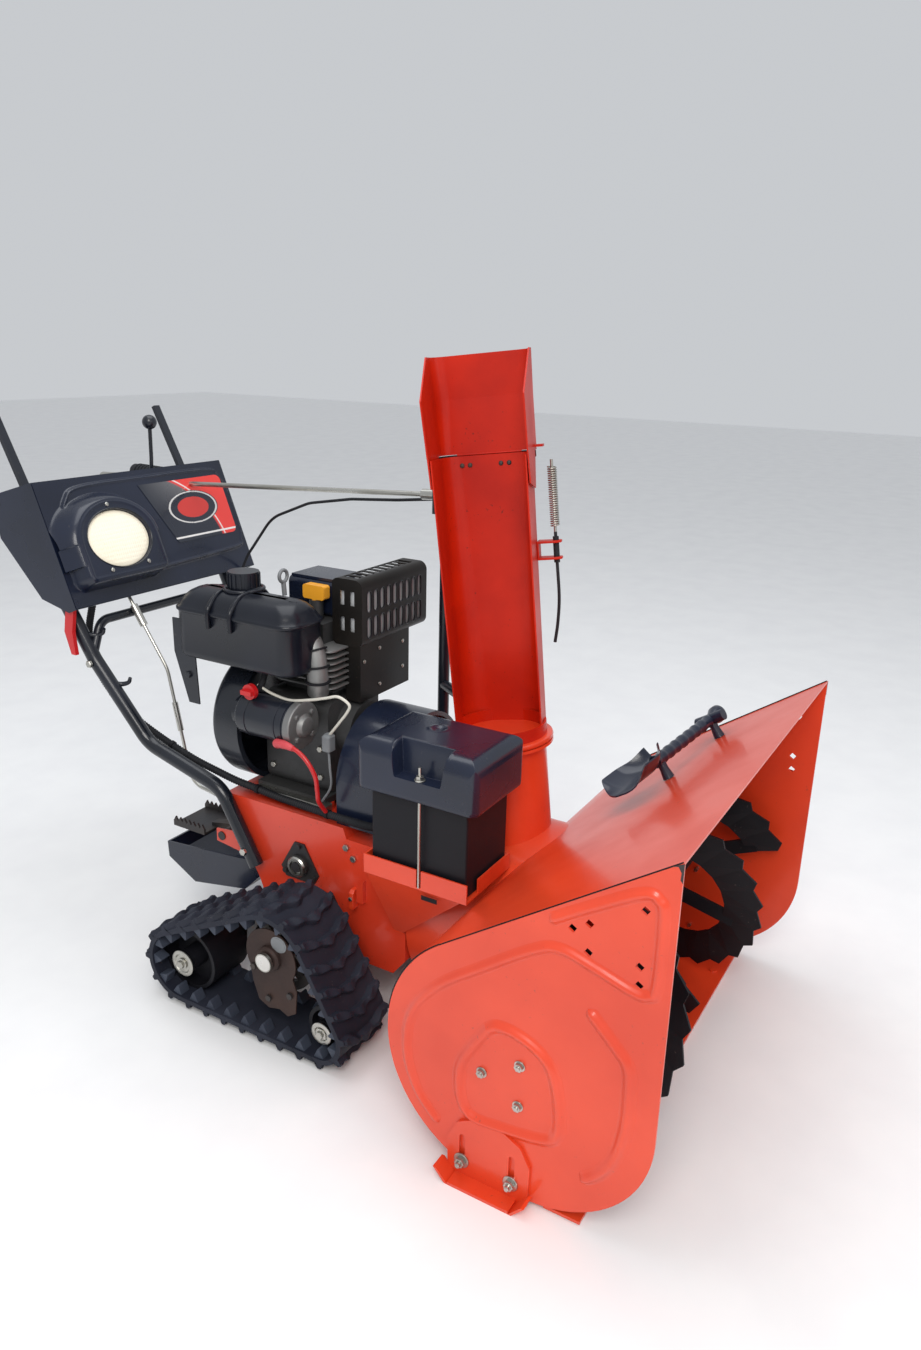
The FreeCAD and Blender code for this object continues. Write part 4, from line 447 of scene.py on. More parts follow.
def housing_details():
    """Pressed ribs, an edge seam, a worn corner, and nuts on washers, on both side plates."""
    for side, word in ((-1, "right"), (1, "left")):
        x = side * HOUSING_HALF
        out = (side, 0, 0)
        ribs = []
        for line, width, height, count in RIBS:
            path = smooth_path(mm([(x, y, z) for y, z in line]), count)
            if line is RING_RIB:
                path[-1] = path[0]
            ribs.append(bead(path, width / 1000, height / 1000, out))
        if side > 0:
            ribs = [(points, turned(faces)) for points, faces in ribs]
        piece("side_plate_ribs_" + word, ribs, CORAL, "chassis", sharp=60)
        slope = [(-363 - 335 * k, 383.6 + 232 * k) for k in np.linspace(0, 1, 30)]
        back = [(-480 + 207.4 * math.cos(a), 213 + 207.4 * math.sin(a)) for a in np.radians(np.linspace(8, 55, 30))]
        seam = mm([(x - side * 1.2, y, z) for y, z in back + slope])
        piece("edge_seam_" + word, [sweep(seam, 0.0010, 8)], MATT_BLACK, "chassis")
        chip = [(-700.4, 615), (-700.4, 596), (-700.4, 588), (-697, 592), (-697.5, 602), (-693, 609), (-684, 606.5)]
        patch = slab(mm([(x + side * 0.02, y, z) for y, z in chip]), np.array((side * 0.0003, 0, 0)))
        piece("corner_wear_" + word, oriented([patch]), IRON, "chassis")
        nuts = []
        for y, z in ((-438, 198), (-498, 235), (-498, 166)):
            nuts += stud_nut(mm((x + side * 0.3, y, z)), out, [(0, 0.0085), (0.0012, 0.0085), (0.0016, 0.008)],
                             (0.0068, 0.0052), [(0.0066, 0.0036), (0.0086, 0.0034), (0.0092, 0.0024)], 24)
        piece("bearing_nuts_" + word, nuts, ZINC, "chassis")
        nuts = []
        for y, z in ((-412, 30), (-495, 30)):
            nuts += stud_nut(mm((x + side * 5.6, y, z)), out, [(0, 0.0125), (0.0018, 0.0125), (0.0024, 0.0118)],
                             (0.0086, 0.007), [(0.0092, 0.0046), (0.0142, 0.0044), (0.0152, 0.003)], 28)
        piece("shoe_nuts_" + word, nuts, ZINC, "chassis")


# ---------------------------------------------------------------- dash
FACE = np.array((92.0, 229.0)) / math.hypot(92.0, 229.0)
LAMP = np.array((-126.0, 112.0))


def on_dash(u, v, out):
    """Points on the sloping dash front, in metres."""
    y = 545.0 + FACE[0] * v - FACE[1] * out
    z = 699.0 + FACE[1] * v + FACE[0] * out
    return mm(np.stack([u, y, z], -1))


def outline_distance(u, v, outline):
    """Signed distance to a closed polygon, negative inside."""
    corners = np.asarray(outline, float)
    best = np.full(u.shape, 1e9)
    inside = np.zeros(u.shape, bool)
    for (ax, ay), (bx, by) in zip(corners, np.roll(corners, -1, 0)):
        ex, ey = bx - ax, by - ay
        share = np.clip(((u - ax) * ex + (v - ay) * ey) / (ex * ex + ey * ey), 0, 1)
        best = np.minimum(best, np.hypot(u - ax - share * ex, v - ay - share * ey))
        crosses = ((ay > v) != (by > v)) & (u < ex * (v - ay) / (ey if ey else 1e-9) + ax)
        inside ^= crosses
    return np.where(inside, -best, best)


def soft_step(value):
    """A smooth 0 to 1 ramp."""
    value = np.clip(value, 0, 1)
    return value * value * (3 - 2 * value)


DASH_FIELD = smooth_path([(-198, 36), (-216, 100), (-214, 160), (-190, 206), (-150, 226), (0, 229), (190, 228),
                          (222, 212), (233, 180), (235, 100), (228, 66), (204, 50), (0, 42), (-150, 34),
                          (-198, 36)], 90)
SOCKET_FLOOR = 34.4


def dash_height(u, v):
    """Relief of the moulded front in millimetres, the highest of two shapes.

    The field is a smooth step across its outline with a rounded bead on it. The pod falls from 43 with the distance
    outside an elliptic arch above the lamp and a rounded foot below it. The lamp's ellipse is sunk to the socket floor.
    """
    edge = outline_distance(u, v, DASH_FIELD)
    height = 1.2 + 5.8 * soft_step((6 - edge) / 7) + 2.4 * np.exp(-(edge / 3.2) ** 2)
    x, y = u - LAMP[0], v - LAMP[1]
    arch = (np.sqrt((x / 95) ** 2 + (y / 76) ** 2) - 1) * 82
    foot = np.hypot(np.maximum(np.abs(x) - 83, 0), np.maximum(-y - 62, 0)) - 12
    away = np.where(y > 0, arch, np.maximum(foot, -20))
    flank = np.where((x < 0) | (y > 0), 34.0, 13.0)
    flank = np.where(y < -40, 12.0, flank)
    pod = 43.0 * soft_step(1 - away / flank)
    rim = 1.6 * np.exp(-((away + 5) / 3.0) ** 2)
    height = np.maximum(height, pod + rim)
    hole = (np.sqrt((x / 75.5) ** 2 + (y / 57.5) ** 2) - 1) * 65
    return np.where(hole < 0, SOCKET_FLOOR, height)


def dash_front():
    """The moulded dash front as a height over its slope, with screws and a bezel round the lamp."""
    u, v = np.meshgrid(np.linspace(-246, 246, 330), np.linspace(1.5, 244, 190), indexing="ij")
    height = dash_height(u, v)
    points = on_dash(u, v, height).reshape(-1, 3)
    faces = turned(grid_faces(*u.shape))
    piece("dash_front", [(points, faces)], NAVY, "chassis", sharp=50)
    normal = np.array((0, -FACE[1], FACE[0]))
    screws = []
    for dx, dy in ((-6, 67), (-44, -58), (47, -56)):
        centre = on_dash(LAMP[0] + dx, LAMP[1] + dy, 43.5)
        screws.append(lathe([(0, 0.0042), (0.0012, 0.0040), (0.0022, 0.0026), (0.0024, 0.0004)], centre, normal, 20))
    piece("lamp_screws", screws, ZINC, "chassis")
    rim = np.linspace(0, TAU, 97)
    ring = on_dash(LAMP[0] + 76.5 * np.cos(rim), LAMP[1] + 58.5 * np.sin(rim), np.full(97, 42.6))
    piece("lamp_bezel", [sweep(ring, 0.0016, 10)], BLACK, "chassis")


def lens():
    """A lens in place of the plain one: a dome of sqrt(1 - r squared), with fine flutes that fade at the rim."""
    r, a = np.meshgrid(np.linspace(0, 1, 90), np.linspace(0, TAU, 180, endpoint=False), indexing="ij")
    u = LAMP[0] + 73.8 * r * np.cos(a)
    v = LAMP[1] + 55.8 * r * np.sin(a)
    flutes = 0.5 * np.abs(np.sin((u - LAMP[0]) * math.pi / 5.2)) + 0.25 * np.abs(np.sin((v - LAMP[1]) * math.pi / 8.5))
    out = 35.4 + 5.4 * np.sqrt(np.clip(1 - r ** 2, 0, 1)) + flutes * np.clip((1 - r) * 8, 0, 1)
    points = on_dash(u, v, out).reshape(-1, 3)
    faces = grid_faces(90, 180, wrap_columns=True)
    piece("lamp_lens", [(points, faces)], LENS, "chassis", stands_for=("headlight_lens",), sharp=60)


def decal_tint(u, v):
    """A plain two-tone design: a red field, a dark sweep inside an ellipse, a pale arc, a pale line and an oval."""
    red = np.array((0.80, 0.045, 0.035))
    dark = np.array((0.012, 0.016, 0.03))
    pale = np.array((0.85, 0.84, 0.82))
    colour = np.broadcast_to(red, (*u.shape, 3)).copy()
    sweep_line = np.hypot((u + 20) / 1.15, v - 60) - 176
    shade = soft_step(-sweep_line / 6)[..., None]
    glow = np.clip((u[..., None] + 10) / 160, 0, 1)
    grey = dark + (pale - dark) * 0.35 * glow * np.clip((v[..., None] - 150) / 80, 0, 1)
    colour = colour * (1 - shade) + grey * shade
    line = soft_step(1 - np.abs(sweep_line - 3) / 2.6)[..., None]
    colour = colour * (1 - line) + pale * line
    colour[(v < 94) & (v > 90)] = pale
    oval = np.hypot((u - 118) / 72, (v - 152) / 36)
    colour[oval < 1.0] = dark
    colour[np.abs(oval - 0.93) < 0.035] = pale * 0.8
    colour[oval < 0.62] = red * 0.75
    return np.concatenate([colour, np.ones((*u.shape, 1))], -1)


def dash_decal():
    """The plain panel beside the lamp: a sheet between a slanted left edge and a right edge with round corners."""
    s, t = np.meshgrid(np.linspace(0, 1, 240), np.linspace(0, 1, 140), indexing="ij")
    v = 83 + 131 * t
    left = 47 - 58 * t
    corner = 14.0
    pull = np.maximum(0, corner - np.minimum(v - 83, 214 - v))
    right = 222 - (corner - np.sqrt(np.maximum(corner ** 2 - pull ** 2, 0)))
    u = left + (right - left) * s
    points = on_dash(u, v, np.full(u.shape, 8.0)).reshape(-1, 3)
    faces = turned(grid_faces(*u.shape))
    piece("panel_design", [(points, faces)], DECAL, "chassis", sharp=60,
          tint=decal_tint(u, v).reshape(-1, 4))


# ---------------------------------------------------------------- chute
def chute_frame():
    """Origin and directions of the chute: ring centre, width, throw and axis."""
    lean, aim = math.radians(7.0), math.radians(72.0)
    axis = np.array((0, math.sin(lean), math.cos(lean)))
    throw = np.array((-math.sin(aim), -math.cos(aim), 0))
    throw = throw - axis * throw.dot(axis)
    throw /= np.linalg.norm(throw)
    return mm((0, -237, 534)), np.cross(throw, axis), throw, axis


def chute_point(w, d, s):
    """A point across the chute, along its throw and up its axis, in metres."""
    centre, width, throw, axis = chute_frame()
    return centre + (width * w + throw * d + axis * s) / 1000


def chute_details():
    """Rivets at the hinge, a matt black band of painted shade in the hinge seam, the return spring on its ears, and its
    cable.

    The band is a ring 10 mm high round the back of the channel. The spring is a helix about a straight core.
    """
    _, width, throw, axis = chute_frame()
    rivets = []
    for w in (48, 34, -20, -34):
        rivets.append(lathe([(0, 0.0042), (0.001, 0.0040), (0.0022, 0.0028), (0.0027, 0.0006)],
                            chute_point(w, -71.4, 470), throw, 20))
    piece("hinge_rivets", rivets, IRON, "chute")
    # The band in the hinge seam is matt black: painted shade.
    turn = np.radians(np.linspace(0, 90, 14))
    line = [(50 + 34.4 * math.cos(a), -44 - 34.4 * math.sin(a)) for a in turn]
    line += [(-50 - 34.4 * math.sin(a), -44 - 34.4 * math.cos(a)) for a in turn]
    rows = []
    for grow, s in ((0, 478), (0, 488.3), (0.7, 488.3), (0.7, 478)):
        rows.append([chute_point(w * (1 + grow / 84), d - grow * 0.8, s) for w, d in line])
    points = np.array(rows).reshape(-1, 3)
    seam_shade = (points, turned(grid_faces(4, len(line), wrap_rows=True)))
    piece("hinge_seam_painted_shade", [seam_shade], MATT_BLACK, "chute", sharp=40)
    side = -110.0
    turns = 26
    t = np.linspace(0, 1, turns * 14)
    coil = np.stack([chute_point(side, -45, 362 + 98 * k) for k in t])
    coil += 0.0068 * (np.cos(TAU * turns * t)[:, None] * width + np.sin(TAU * turns * t)[:, None] * throw)
    core = sweep(np.array([chute_point(side, -45, 350), chute_point(side, -45, 472)]), 0.0026, 12)
    piece("return_spring", [sweep(coil, 0.0014, 8), core], ZINC, "chute", sharp=60)
    ears = []
    for low in (306, 334):
        corners = [chute_point(-78.8, -58, low), chute_point(-78.8, -32, low), chute_point(side - 2, -34, low),
                   chute_point(side - 10, -39, low), chute_point(side - 10, -51, low), chute_point(side - 2, -56, low)]
        ears.append(slab(corners, axis * 0.004))
    ears.append(slab([chute_point(-78.8, -58, 306), chute_point(-78.8, -32, 306), chute_point(-78.8, -32, 338),
                      chute_point(-78.8, -58, 338)], -width * 0.003))
    # The ears take the red darkened with painted shade.
    piece("spring_ears", ears, PAINTED_SHADE_RED, "chute", stands_for=("deflector_spring",), bevel=0.0008)
    sheath = smooth_path([chute_point(side, -45, 352), chute_point(side, -45, 300), chute_point(side, -45, 240),
                          chute_point(side + 5, -46, 195), chute_point(side + 12, -47, 160)], 60)
    collar = sweep(np.array([chute_point(side, -45, 300), chute_point(side, -45, 344)]), 0.0052, 16)
    piece("spring_cable", [sweep(sheath, 0.0028, 12), collar], GRIP, "chute")


# ---------------------------------------------------------------- battery and belt covers
def rounded_box_rings(box, rings, corner, steps=8):
    """Stacked rounded rectangles; each ring is (inset, height, corner radius scale)."""
    x0, x1, y0, y1 = box
    out = []
    for inset, z, scale in rings:
        r = corner * scale
        line = []
        for cx, cy, start in ((x1 - inset - r, y1 - inset - r, 0), (x0 + inset + r, y1 - inset - r, 90),
                              (x0 + inset + r, y0 + inset + r, 180), (x1 - inset - r, y0 + inset + r, 270)):
            for a in np.radians(np.linspace(start, start + 90, steps)):
                line.append((cx + r * math.cos(a), cy + r * math.sin(a), z))
        out.append(line)
    return mm(np.array(out).reshape(-1, 3)), len(rings), 4 * steps


def stacked(box, rings, corner, steps=8):
    """A closed body through stacked rounded rectangles."""
    points, count, around = rounded_box_rings(box, rings, corner, steps)
    faces = grid_faces(count, around, wrap_columns=True)
    faces.append(list(range(around - 1, -1, -1)))
    faces.append(list(range((count - 1) * around, count * around)))
    return points, faces


LID_BOX = (-258.0, -96.0, -332.0, -109.0)
LID_CORNER = 14.0
# The wall's levels below the rolled edge: height (none at the edge itself) and inset.
LID_LEVELS = ((None, 0.0), (516.0, 0.0), (510.0, 0.3), (508.5, 1.6), (508.5, 4.0), (540.0, 4.0))


def battery_lid_height(x, y):
    """Height of the lid: a flat top that rolls down within 26 mm of its edges, a nut recess and a top dimple."""
    x0, x1, y0, y1 = LID_BOX
    z1 = 597.5
    edge = np.minimum(np.minimum(x - x0, x1 - x), np.minimum(y - y0, y1 - y))
    fall = np.clip(1 - edge / 26, 0, 1)
    height = z1 - 26 * (1 - np.sqrt(np.clip(1 - fall ** 2.2, 0, 1))) - 0.9 * fall
    across = np.abs(y + 226)
    notch = np.maximum(across - 45, x + 229)
    height = height - (height - 543.5) * soft_step(1 - (notch + 3) / 7)
    rim = np.exp(-((notch - 6) / 2.6) ** 2) * (x > x0 + 6)
    dimple = np.hypot((x + 160) / 15, (y + 205) / 15)
    return height + 1.2 * rim - 3.0 * np.exp(-(dimple * 1.6) ** 4) + 0.8 * np.exp(-((dimple - 1.0) / 0.18) ** 2)


def battery_lid():
    """The moulded battery lid in place of the plain one: its height over a grid, and a wall from rings of its rim."""
    x0, x1, y0, y1 = LID_BOX
    xs = np.concatenate([[x0], np.linspace(x0 + 0.4, x1 - 0.4, 150), [x1]])
    ys = np.concatenate([[y0], np.linspace(y0 + 0.4, y1 - 0.4, 200), [y1]])
    x, y = np.meshgrid(xs, ys, indexing="ij")
    cx = np.clip(x, x0 + LID_CORNER, x1 - LID_CORNER)
    cy = np.clip(y, y0 + LID_CORNER, y1 - LID_CORNER)
    away = np.hypot(x - cx, y - cy)
    square = np.maximum(np.abs(x - cx), np.abs(y - cy))
    scale = np.where(away > 1e-6, square / np.maximum(away, 1e-6), 1)
    px, py = cx + (x - cx) * scale, cy + (y - cy) * scale
    z = battery_lid_height(px, py)
    top = np.stack([px, py, z], -1)
    rows, columns = x.shape
    shapes = [(mm(top.reshape(-1, 3)), turned(grid_faces(rows, columns)))]
    rim = np.concatenate([top[:, 0], top[-1, 1:], top[-2::-1, -1], top[0, -2:0:-1]])
    inward = np.array(((x0 + x1) / 2, (y0 + y1) / 2)) - rim[:, :2]
    inward /= np.linalg.norm(inward, axis=1)[:, None]
    levels = []
    for z_level, inset in LID_LEVELS:
        ring = rim.copy()
        ring[:, :2] += inward * inset
        if z_level is not None:
            ring[:, 2] = np.minimum(z_level, ring[:, 2]) if z_level < 530 else z_level
        levels.append(ring)
    wall = mm(np.concatenate(levels))
    shapes.append((wall, grid_faces(len(levels), len(rim), wrap_columns=True)))
    piece("battery_lid", shapes, NAVY, "chassis", stands_for=("battery_cover",), sharp=40)
    nut = mm((-248.5, -226, 544))
    piece("hold_down_nut", [lathe([(0, 0.009), (0.0014, 0.009), (0.0018, 0.0084)], nut, (0, 0, 1), 28),
                            hexagon(nut + (0, 0, 0.0018), (0, 0, 1), 0.0066, 0.006)], ZINC, "chassis")


# ---------------------------------------------------------------- tank
TANK_BOX = (-196.0, -90.0, 72.0, 350.0)
TANK_CORNER = 33


def tank_details():
    """The tank as stacked rounded rectangles with a seam ridge, its two straps, a saddle, a bracket and a spigot."""
    rings = [(9, 634, 0.8), (3.5, 635.5, 0.92), (0.8, 640, 0.98), (0, 648, 1.0), (0, 719, 1.0), (-1.2, 720.5, 1.0),
             (-3.0, 722.5, 1.03), (-3.0, 726.5, 1.03), (-1.0, 728.6, 1.0), (1.5, 731, 1.0), (5, 738, 0.96),
             (10, 746, 0.92), (17, 753, 0.86), (26, 758.2, 0.8), (36, 761.2, 0.7), (48, 761.9, 0.3)]
    body = stacked(TANK_BOX, rings, TANK_CORNER, 12)
    piece("tank_shell", [body], TANK_BLACK, "chassis", stands_for=("fuel_tank",), sharp=50)
    lines = []
    for y in (204, 256):
        run = [(-199.4, y, 700), (-199.6, y, 729), (-192, y, 741), (-180, y, 752), (-166, y, 759.5), (-128, y, 763.4),
               (-110, y, 760), (-97, y, 748)]
        path = smooth_path(mm(run), 60)
        lines.append(sweep(path, 0.0046, 12))
    arc = np.linspace(0, TAU, 73)
    saddle = np.stack([-128 + 36 * np.cos(arc), 232 + 34 * np.sin(arc), np.full(73, 762.6)], -1)
    lines.append(sweep(mm(saddle), 0.0038, 10))
    neck = lathe([(0, 0.034), (0.003, 0.033), (0.006, 0.029), (0.009, 0.0265), (0.012, 0.024)],
                 mm((-128, 232, 757)), (0, 0, 1), 48)
    lines.append(neck)
    piece("tank_straps", lines, TANK_BLACK, "chassis", sharp=50)
    bracket = [slab(mm([(-192, y, z) for y, z in ((352, 704), (352, 640), (322, 545), (296, 545), (300, 640),
                                                   (316, 704))]), (0.003, 0, 0))]
    bracket.append(hexagon(mm((-192.2, 318, 600)), (-1, 0, 0), 0.0066, 0.005))
    bracket.append(lathe([(0, 0.0095), (0.004, 0.0095), (0.010, 0.008), (0.012, 0.006)],
                         mm((-156, 165, 640)), (0, 0, -1), 24))
    piece("tank_bracket", bracket, BLACK, "chassis", bevel=0.0006)
    spigot = sweep(smooth_path(mm([(-150, 165, 636), (-170, 165, 600), (-198, 165, 596)]), 30), 0.0058, 16)
    piece("tank_spigot", [spigot], MATT_BLACK, "chassis")


# ---------------------------------------------------------------- engine details
def engine_details():
    """Starter cap and screws, leads, breather hose, cooling fins, lifting eye and fasteners."""
    x, z = -168.0, 545.0
    cap = mm((x, 69.6, z))
    shapes = [lathe([(-0.0135, 0.0434), (-0.002, 0.0434), (0.0, 0.0418), (0.0012, 0.037), (0.0012, 0.022),
                     (0.004, 0.019), (0.009, 0.0165), (0.0105, 0.013), (0.0108, 0.003)], cap, (0, -1, 0), 56)]
    for k in range(4):
        a = math.radians(45 + 90 * k)
        shapes.append(lathe([(0, 0.0052), (0.0034, 0.005), (0.0042, 0.0038), (0.0044, 0.0006)],
                            mm((x + 29.5 * math.cos(a), 69.0, z + 29.5 * math.sin(a))), (0, -1, 0), 18))
    piece("starter_cap", shapes, ALLOY, "chassis", sharp=30)
    bands = []
    for y in (92, 108, 176):
        bands.append(lathe([(-0.003, 0.0402), (-0.0024, 0.0412), (0.0024, 0.0412), (0.003, 0.0402)],
                           mm((x, y, z)), (0, -1, 0), 56))
    piece("starter_bands", bands, BLACK, "chassis", sharp=40)
    hose = smooth_path(mm([(-170, 171, 602), (-170, 140, 592), (-171, 97, 588), (-171, 50, 598), (-170, 19, 607),
                           (-170, -9, 615), (-170, -32, 605), (-170, -27, 590), (-170, -12, 570), (-168, 3, 552),
                           (-164, 17, 536)]), 120)
    piece("breather_hose", [sweep(hose, 0.0026, 12)], WHITE, "chassis")
    plug = [stacked((-176, -156, 8, 26), [(2, 508, 1), (0, 510, 1), (0, 536, 1), (3, 540, 1)], 4, 4)]
    plug.append(sweep(smooth_path(mm([(-166, 17, 510), (-170, 12, 480), (-166, 14, 440), (-158, 40, 402)]), 40),
                      0.0022, 10))
    piece("lead_connector", plug, GREY, "chassis")
    boot = smooth_path(mm([(-199, 104, 513), (-207, 98, 518), (-211, 86, 521), (-214, 70, 522), (-215, 56, 520)]), 24)
    swell = np.array([0.0084] * 8 + [0.0078] * 6 + list(np.linspace(0.0078, 0.0052, 10)))
    piece("starter_boot", [sweep(boot, swell, 18)], PINK, "chassis")
    red = smooth_path(mm([(-208.5, 96, 520), (-215, 60, 522), (-216, 30, 508), (-214.5, 10, 480), (-209, 10, 450),
                          (-203, 12, 426), (-182, 14, 398)]), 90)
    piece("starter_lead", [sweep(red, 0.0041, 14)], RED, "chassis")
    fins = []
    for k in range(7):
        level = 596 + 11.5 * k
        fins.append(stacked((-112, 28, 50, 190), [(1.5, level, 1), (0, level + 0.8, 1), (0, level + 3.2, 1),
                                                   (1.5, level + 4, 1)], 18, 6))
    piece("cylinder_fins", fins, ALLOY, "chassis", sharp=40)
    intake = smooth_path(mm([(-118, 92, 690), (-120, 80, 668), (-122, 74, 640), (-122, 72, 612), (-118, 76, 590)]), 40)
    piece("intake_neck", [sweep(intake, np.full(40, 0.019), 28)], ALLOY, "chassis")
    rings = []
    for share in (0.25, 0.5, 0.72):
        k = int(share * 39)
        way = intake[k + 1] - intake[k]
        profile = [(-0.002, 0.0215), (-0.0015, 0.0235), (0.0015, 0.0235), (0.002, 0.0215)]
        rings.append(lathe(profile, intake[k], way, 36))
    piece("intake_clamps", rings, MATT_BLACK, "chassis")
    loop = np.linspace(0, TAU, 49)
    eye = np.stack([-62 + 11 * np.cos(loop), np.full(49, 196.0), 778 + 11 * np.sin(loop)], -1)
    stem = mm([(-62, 196, 766), (-62, 194, 742)])
    piece("lifting_eye", [sweep(mm(eye), 0.0034, 12), sweep(stem, 0.0045, 14)], GREY, "chassis")
    rail = [stacked((-150, -128, 40, 206), [(0.6, 371, 1), (0, 372, 1), (0, 385, 1), (0.8, 386, 1)], 2, 4)]
    rail.append(hexagon(mm((-150.1, 120, 379)), (-1, 0, 0), 0.0056, 0.0045))
    piece("engine_rail", rail, ZINC, "chassis", bevel=0.0004)
    bolts = []
    for y, level in ((76, 424), (76, 480), (188, 424)):
        bolts.append(hexagon(mm((-114.2, y, level)), (-1, 0, 0), 0.006, 0.005))
    piece("engine_bolts", bolts, ZINC, "chassis")


def guard_details():
    """Rivets on the heat shield, the muffler as stacked rounded rectangles, and rims round the guard's slots."""
    rivets = []
    for x, z in ((0, 655), (0, 585), (76, 650), (76, 600), (-48, 640)):
        rivets.append(lathe([(0, 0.0038), (0.0012, 0.0035), (0.002, 0.002), (0.0022, 0.0004)],
                            mm((x, 23.9, z)), (0, -1, 0), 16))
    piece("shield_rivets", rivets, ZINC, "chassis")
    can = [(6, 679, 1), (1.5, 680.5, 1), (0, 685, 1), (0, 726, 1), (-2, 728, 1), (-2, 732, 1), (0, 734, 1),
           (0, 776, 1), (1.5, 781, 1), (6, 783, 1)]
    piece("muffler_can", [stacked((-56, 144, 22.6, 76), can, 12, 8)], CAN_STEEL,
          "chassis", stands_for=("muffler",), sharp=40)
    loops = []
    arc = np.radians(np.linspace(0, 180, 9))
    for row in (690.0, 738.0):
        for k in range(9):
            x = -40 + 20.5 * k
            upper = [(x + 6.6 * math.cos(a), 17.9, row + 26 + 6.6 * math.sin(a)) for a in arc]
            lower = [(x - 6.6 * math.cos(a), 17.9, row - 6.6 * math.sin(a)) for a in arc]
            line = mm(upper + lower + [upper[0]])
            loops.append(sweep(line, 0.0008, 6))
    piece("guard_slot_rims", loops, BLACK, "chassis")


# ---------------------------------------------------------------- conduit, grips and small controls
def conduit():
    """Corrugated conduit along the handle tube and the frame, with its clips: the radius is 6.6 mm + 0.9 mm * cos."""
    run = [(-176, 585, 690), (-170, 608, 640), (-166, 616, 600), (-165, 604, 558), (-164, 580, 520), (-164, 540, 490),
           (-164, 500, 464), (-162, 450, 442), (-161, 404, 426), (-160, 350, 410), (-159, 300, 400), (-160, 245, 392),
           (-160, 190, 388), (-164, 140, 386.5), (-166, 90, 386), (-168, 45, 386), (-170, 0, 386), (-171, -40, 386.6),
           (-172, -70, 388), (-172, -98, 393), (-172, -122, 400)]
    count = 760
    path = smooth_path(mm(run), count)
    wave = 0.0066 + 0.0009 * np.cos(np.arange(count) * TAU / 4)
    piece("conduit", [sweep(path, wave, 12)], GRIP, "chassis", stands_for=("wiring_harness",),
          sharp=60)
    clips = []
    for k in (170, 300, 455, 590):
        way = path[k + 1] - path[k - 1]
        clips.append(lathe([(-0.004, 0.0078), (-0.0036, 0.0086), (0.0036, 0.0086), (0.004, 0.0078)], path[k], way, 24))
    piece("conduit_clips", clips, MATT_BLACK, "chassis")


def handle_details():
    """Zinc bolts through the handle tubes, and two tapered cable hooks."""
    bolts = []
    for x, y, z in ((217.5, 618, 708), (208, 552, 585), (183, 200, 270)):
        for side in (-1, 1):
            bolts.append(hexagon(mm((side * (x + 13), y, z)), (side, 0, 0), 0.0075, 0.006))
    piece("handle_bolts", bolts, ZINC, "chassis")
    hooks = []
    for x, y, z in ((-200, 521, 545), (-207, 575, 638)):
        hooks.append(sweep(smooth_path(mm([(x, y, z), (x + 13, y - 12, z - 3), (x + 20, y - 24, z + 1),
                                           (x + 20, y - 30, z + 11)]), 24), np.linspace(0.0055, 0.0035, 24), 12))
    piece("cable_hooks", hooks, BLACK, "chassis")


# ---------------------------------------------------------------- tracks
TRACK_CIRCLES = [(22.0, 179.0, 86.0), (-84.0, 65.0, 51.0), (240.0, 86.0, 72.0)]
BELT_NEAR, BELT_FAR = 215, 345
BELT_INSIDE = -9.0
LUGS = 26


def loop_spans(offset):
    """Arcs (y, z, r, start, end) of the belt line round the three wheels, in order."""
    normals = []
    for k in range(3):
        y0, z0, r0 = TRACK_CIRCLES[k]
        y1, z1, r1 = TRACK_CIRCLES[(k + 1) % 3]
        run = math.hypot(y1 - y0, z1 - z0)
        normals.append(math.atan2(z1 - z0, y1 - y0) - math.acos((r0 - r1) / run))
    spans = []
    for k in range(3):
        y, z, r = TRACK_CIRCLES[k]
        a0, a1 = normals[k - 1], normals[k]
        while a1 < a0:
            a1 += TAU
        spans.append((y, z, r + offset, a0, a1))
    return spans


def belt_line(offset, count):
    """Evenly spaced (y, z, normal angle) stations round the belt."""
    spans = loop_spans(offset)
    line = []
    for k, (y, z, r, a0, a1) in enumerate(spans):
        for a in np.linspace(a0, a1, 200):
            line.append((y + r * math.cos(a), z + r * math.sin(a), a))
        yn, zn, rn, b0, _ = spans[(k + 1) % 3]
        p = np.array((y + r * math.cos(a1), z + r * math.sin(a1)))
        q = np.array((yn + rn * math.cos(b0), zn + rn * math.sin(b0)))
        for share in np.linspace(0, 1, 200)[1:-1]:
            line.append((*(p + (q - p) * share), a1))
    line = np.array(line)
    step = np.linalg.norm(np.diff(np.vstack([line[:, :2], line[:1, :2]]), axis=0), axis=1)
    run = np.concatenate([[0], np.cumsum(step)])
    want = (np.arange(count) + 0.5) / count * run[-1]
    k = np.clip(np.searchsorted(run, want) - 1, 0, len(line) - 1)
    share = ((want - run[k]) / np.maximum(step[k], 1e-9))[:, None]
    following = line[(k + 1) % len(line)]
    turn = (following[:, 2] - line[k, 2] + math.pi) % TAU - math.pi
    place = line[k, :2] * (1 - share) + following[:, :2] * share
    return np.column_stack([place, line[k, 2] + turn * share[:, 0]])


